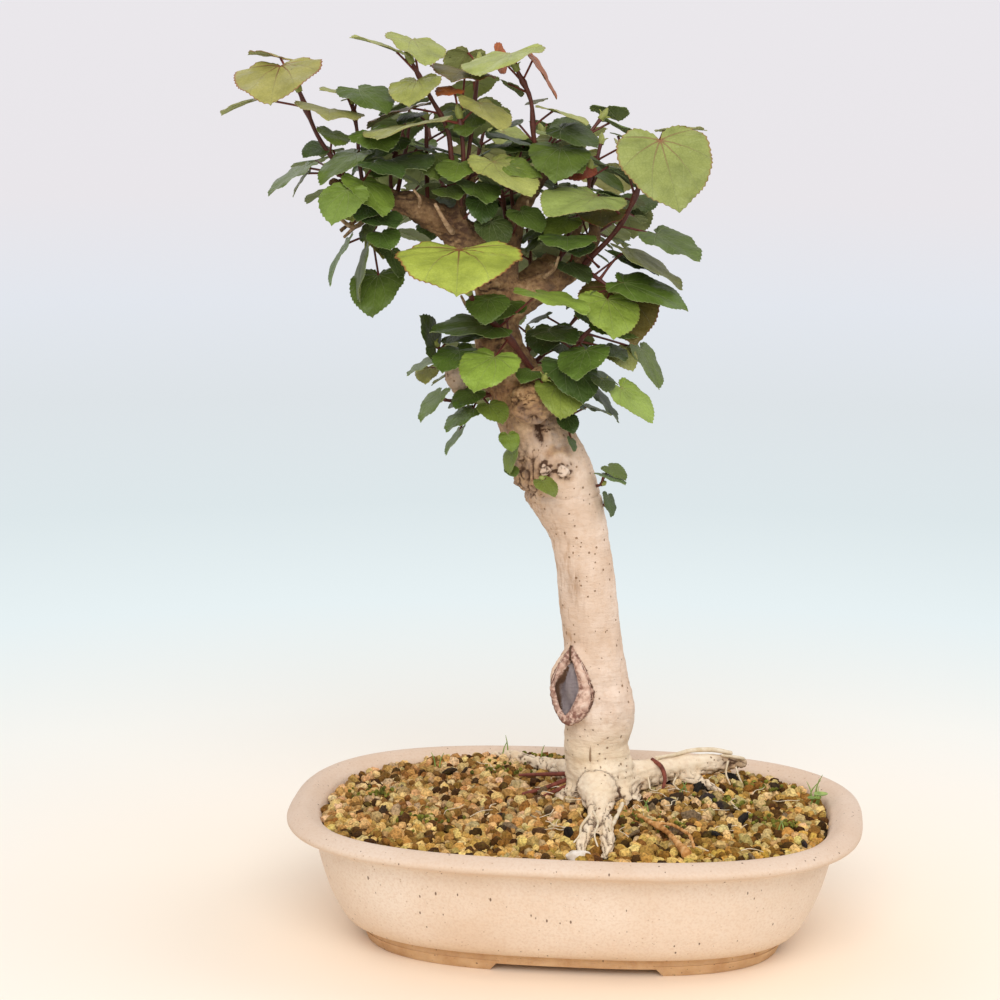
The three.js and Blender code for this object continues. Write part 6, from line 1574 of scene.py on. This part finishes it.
def leaf_material(name, upper):
    """Leaf skin: fine veins, blotches and a red edge when young; the underside is paler, greyer and matt."""
    material, tree, surface = new_material(name, 0.46 if upper else 0.7, 0.3 if upper else 0.2)
    place = add(tree, "TexCoord", give="Object")
    own = add(tree, "Attribute", give="Color", attribute_name="own_colour")
    youth = add(tree, "Attribute", give="Fac", attribute_name="youth")
    spot = add(tree, "Attribute", give="Vector", attribute_name="on_blade")
    u, v, edge = add(tree, "SeparateXYZ", spot).node.outputs
    main, minor, wave = vein_lines(tree, u, v, 0.009)
    shade = mottled(tree, place, 13, [(0.3, "b0b4a4"), (0.55, "e4e6da"), (0.75, "ffffff")])
    colour = add(tree, "MixRGB.MULTIPLY", 0.6, own, shade)
    if upper:
        net = add(tree, "TexVoronoi", Vector=place, Scale=1000 / 2.2, feature="DISTANCE_TO_EDGE").node
        cells = add(tree, "MapRange.SMOOTHSTEP", net.outputs[0], 0.14, 0.02)
        deeper = add(tree, "MixRGB.MULTIPLY", 1.0, colour, "c8ccb4")
        colour = tinted(tree, colour, cells, 0.3, deeper)
    else:
        colour = add(tree, "MixRGB", 0.35, colour, "a9ad7e")
    pale = add(tree, "MixRGB", 0.45, own, "ccd29a")
    vein_share = add(tree, "Math.MULTIPLY_ADD", youth, -0.2, 0.42 if upper else 0.6)
    colour = tinted(tree, colour, minor, add(tree, "Math.MULTIPLY", vein_share, 0.35), pale)
    colour = tinted(tree, colour, main, vein_share, pale)
    squares = [add(tree, "Math.MULTIPLY", way, way) for way in (u, v)]
    on_blade = add(tree, "Math.SQRT", add(tree, "Math.ADD", *squares))
    fresh = add(tree, "MapRange.SMOOTHSTEP", youth, 0.3, 0.7)
    red_vein = add(
        tree, "Math.MULTIPLY", add(tree, "Math.MULTIPLY", main, fresh),
        add(tree, "MapRange.SMOOTHSTEP", on_blade, 0.75, 0.1),
    )
    colour = tinted(tree, colour, red_vein, 0.85, "7f4030")
    blush = add(tree, "Math.MULTIPLY", add(tree, "MapRange.SMOOTHSTEP", on_blade, 0.09, 0.01), fresh)
    colour = tinted(tree, colour, blush, 0.7, "8c4636")
    rim_share = add(
        tree, "Math.MULTIPLY", add(tree, "MapRange.SMOOTHSTEP", edge, 0.94, 1.0),
        add(tree, "Math.MULTIPLY", fresh, 0.85),
    )
    colour = add(tree, "MixRGB", rim_share, colour, "8c4430")
    colour = tinted(tree, colour, specks(tree, place, 8, 0.8), 0.6, "4a3a20")
    dry = add(tree, "Math.MULTIPLY", specks(tree, place, 13, 0.9), 0.55)
    colour = add(tree, "MixRGB", dry, colour, "c9c48c")
    puckers = add(
        tree, "Math.MULTIPLY_ADD", wave, 0.5, add(tree, "TexNoise", Vector=place, Scale=1000 / 4, Detail=3)
    )
    height = add(tree, "Math.MULTIPLY_ADD", main, -0.9 if upper else 0.9, puckers)
    cover(tree, surface, colour, height, 0.6, 0.7)
    return material


def shoot_skin(name, young, old, roughness):
    """Skin of stems and buds, from its old colour to its young one, flecked with pale pores."""
    material, tree, surface = new_material(name, roughness, 0.4)
    place = add(tree, "TexCoord", give="Object")
    youth = add(tree, "Attribute", give="Fac", attribute_name="youth")
    colour = add(tree, "MixRGB", youth, old, young)
    shade = mottled(tree, place, 3, [(0.3, "a8a8a8"), (0.7, "ffffff")])
    colour = add(tree, "MixRGB.MULTIPLY", 0.6, colour, shade)
    colour = tinted(tree, colour, specks(tree, place, 1.8, 0.3), 0.6, "b08a64")
    cover(tree, surface, colour, add(tree, "TexNoise", Vector=place, Scale=1000 / 0.8, Detail=3), 0.12, 0.5)
    return material


# The skins of a shoot, in the order of the kinds of face, TOP to BUD_SCALE: satin leaf tops, matt paler
# undersides, dark red satin stems, raised ribs, and dull green bud scales.
shoot_materials = [
    leaf_material("toothed_leaf_upper_skin", True),
    leaf_material("toothed_leaf_underside", False),
    shoot_skin("red_young_stem_skin", "8a3a28", "4c2c22", 0.5),
    shoot_skin("raised_leaf_ribs", "9b7a52", "8a9a5c", 0.55),
    shoot_skin("green_bud_scales", "a8a955", "8f9a50", 0.5),
]
for number, (name, (stem, radii, leaves)) in enumerate(SHOOTS.items()):
    make_shoot(name, stem, radii, leaves, shoot_materials, 300 + number)

# Small leaves inside the crown: short-stalked dark ones that sit straight on the boughs and the old stems.
# They shade the wood. Each grows out of a bough or a stem, and the middles of their blades stay 11 mm apart.
BOUGHS = {
    "trunk": (17, 24), "bough_right": (1, 5), "bough_up_right": (1, 4), "bough_upright": (0, 3),
    "bough_back_left": (1, 3), "bough_back_right": (1, 3), "stub_left": (0, 2), "twig_left": (0, 2),
}
LEAF_ROOM = 11
CROWN_FOOT, CROWN_TOP, CROWN_DEEP = 325, 520, 95
SMALL_LEAVES = {
    "inner_leaves_dark": (46, ("dark", "mid")), "inner_leaves_green": (26, ("mid", "green", "dark"))
}


def small_leaf_places(source):
    """Feet of the small leaves: points on the skin of boughs and stems with the way out from each."""
    feet = []
    for name, (first, last) in BOUGHS.items():
        line = LIMBS[name]
        for _ in range(9 if name == "trunk" else 5):
            k = int(source.integers(first, min(last, len(line) - 1)))
            feet.append((np.array(line[k], float), np.array(line[k + 1], float)))
    for stem, radii, _ in SHOOTS.values():
        for _ in range(4):
            k = int(source.integers(0, len(stem) - 1))
            feet.append((np.array([*stem[k], radii[0]], float), np.array([*stem[k + 1], radii[1]], float)))
    return feet


source = np.random.default_rng(77)
feet = small_leaf_places(source)
taken = [np.array(leaf[:3], float) for _, _, leaves in SHOOTS.values() for leaf in leaves]
for name, (wanted, ages) in SMALL_LEAVES.items():
    shoot = Shoot()
    made = 0
    for _ in range(4000):
        if made == wanted:
            break
        low, high = feet[int(source.integers(len(feet)))]
        share = source.random()
        foot = low + (high - low) * share
        turn = 360 * source.random() - 180
        lift = 70 * source.random() - 15
        way = np.array(
            [math.cos(math.radians(turn)), math.sin(math.radians(turn)), math.tan(math.radians(lift))]
        )
        way /= np.linalg.norm(way)
        length = 13 + 15 * source.random() ** 1.3
        reach = foot[3] + 6 + 0.55 * length
        at = foot[:3] + way * reach
        tip = at + 0.6 * length * np.array([math.cos(math.radians(turn)), math.sin(math.radians(turn)), -0.4])
        room = min(np.linalg.norm(tip - spot) for spot in taken)
        outside = not (-160 < at[0] < 60 and CROWN_FOOT <= at[2] <= CROWN_TOP and abs(tip[1]) <= CROWN_DEEP)
        if room < LEAF_ROOM or outside:
            continue
        if not clear_of_wood(np.array([at, (at + tip) / 2, tip]), 2).all():
            continue
        taken.append(tip)
        age = ages[int(source.integers(len(ages)))]
        leaf = (
            *at, turn, 22 * source.random() + 8, 40 * (source.random() - 0.5), length,
            0.5 + source.random(), 0, age,
        )
        add_leaf(shoot, leaf, [foot[:3], foot[:3] + way], source)
        made += 1
    finish_shoot(shoot, name, shoot_materials)

# The fork leaves: four small dark leaves on short stalks before the fork of the boughs. Three
# stalks have their foot in the wood, and the fourth's stands 6 mm off it. A row: the foot, then the leaf.
FORK_LEAVES = [
    ((-64.5, -16.6, 440.2), (-55, -30, 451, -60, 40, 5, 20, 0.9, 0, "dark")),
    ((-73, -20, 452), (-61, -30, 464, -80, 42, -10, 17, 1.0, 0, "dark")),
    ((-45, 0, 440), (-38, -22, 457, -40, 25, 10, 21, 0.8, 0, "mid")),
    ((8.6, -3.5, 422.7), (-9, -30, 443, -85, 5, 0, 30, 0.6, 0, "mid")),
]
shoot = Shoot()
for foot, leaf in FORK_LEAVES:
    foot = np.array(foot, float)
    add_leaf(shoot, leaf, [foot, foot + [0, 0, 1]], source)
finish_shoot(shoot, "fork_leaves", shoot_materials)

# The stage: a plain pale floor of background paper that runs from cream under the pot to lilac far away, a
# pale sky, and three large soft lamps, as in a bright room.
bpy.ops.object.select_all(action="DESELECT")
bpy.ops.mesh.primitive_circle_add(
    vertices=96, radius=80, fill_type="NGON", location=(POT_MIDDLE.x, POT_MIDDLE.y, 0)
)
floor = bpy.context.object
floor.name = "studio_floor"
# Matt background paper: no shine, and far off it glows as softly as the sky, so the two run together.
paper, tree, surface = new_material("pale_paper_floor", 0.9, 0.1)
away = add(tree, "VectorMath.LENGTH", add(tree, "TexCoord", give="Object"), give="Value")
share = add(tree, "Math.DIVIDE", away, add(tree, "Math.ADD", away, 2.0))
shade = add(tree, "ValToRGB", share, stops=[
    (0.08, "fbecd7"), (0.15, "f9f1e2"), (0.23, "f4f4ec"), (0.33, "e6f0f2"),
    (0.43, "dbe5e8"), (0.54, "dbe1e5"), (0.64, "e0e4eb"), (0.75, "e6e3e7"),
])
glow = add(tree, "MapRange.SMOOTHSTEP", away, 0.35, 1.1)
tree.links.new(add(tree, "MixRGB", glow, shade, "000000"), surface.inputs["Base Color"])
tree.links.new(
    add(tree, "MixRGB", glow, "000000", shade), surface.inputs["Emission Color"]
)
surface.inputs["Emission Strength"].default_value = 1.0
floor.data.materials.append(paper)
floor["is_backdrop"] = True

world = bpy.data.worlds.new("pale_room")
bpy.context.scene.world = world
world.use_nodes = True
world.node_tree.nodes["Background"].inputs["Color"].default_value = linear("e9e6ea")
world.node_tree.nodes["Background"].inputs["Strength"].default_value = 0.9


def soft_lamp(name, place_m, power, size_m):
    lamp = bpy.data.lights.new(name, "AREA")
    lamp.shape = "DISK"
    lamp.size = size_m
    lamp.energy = power
    lamp_object = bpy.data.objects.new(name, lamp)
    lamp_object.location = place_m
    aim = Vector((POT_MIDDLE.x, POT_MIDDLE.y, 0.25)) - Vector(place_m)
    lamp_object.rotation_euler = aim.to_track_quat("-Z", "Y").to_euler()
    bpy.context.scene.collection.objects.link(lamp_object)


soft_lamp("window_light", (0.2, -2.2, 1.7), 40, 1.8)
soft_lamp("room_fill", (1.8, 0.4, 1.8), 8, 1.6)
soft_lamp("back_fill", (-1.3, 2.0, 1.6), 7, 1.6)

# The camera's place, turn and lens come from fitting the pot's rim and foot in the photograph.
TURN, PITCH, ROLL = math.radians(5.67), math.radians(10.3), math.radians(0.71)
STAND_OFF, TARGET_HEIGHT, SIDESTEP, FOCAL_LENGTH = 1800, 603.8, -50.4, 106.1
right = Vector((math.cos(TURN), math.sin(TURN), 0))
level = Vector((-math.sin(TURN), math.cos(TURN), 0))
forward = level * math.cos(PITCH) - Vector((0, 0, math.sin(PITCH)))
up = level * math.sin(PITCH) + Vector((0, 0, math.cos(PITCH)))
across_picture = right * math.cos(ROLL) + up * math.sin(ROLL)
up_picture = up * math.cos(ROLL) - right * math.sin(ROLL)
stand = (right * SIDESTEP - level * STAND_OFF + Vector((0, 0, TARGET_HEIGHT))) * MM + POT_MIDDLE
camera_data = bpy.data.cameras.new("photo_camera")
camera_data.sensor_width = 36
camera_data.lens = FOCAL_LENGTH
camera_data.clip_end = 400
camera = bpy.data.objects.new("photo_camera", camera_data)
turned = Matrix((across_picture, up_picture, -forward)).transposed().to_4x4()
camera.matrix_world = Matrix.Translation(stand) @ turned
bpy.context.scene.collection.objects.link(camera)
bpy.context.scene.camera = camera
bpy.context.scene.view_settings.view_transform = "Standard"

visual_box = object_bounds()
sizes = {"cad": [list(corner) for corner in cad_box], "visual": [list(corner) for corner in visual_box]}
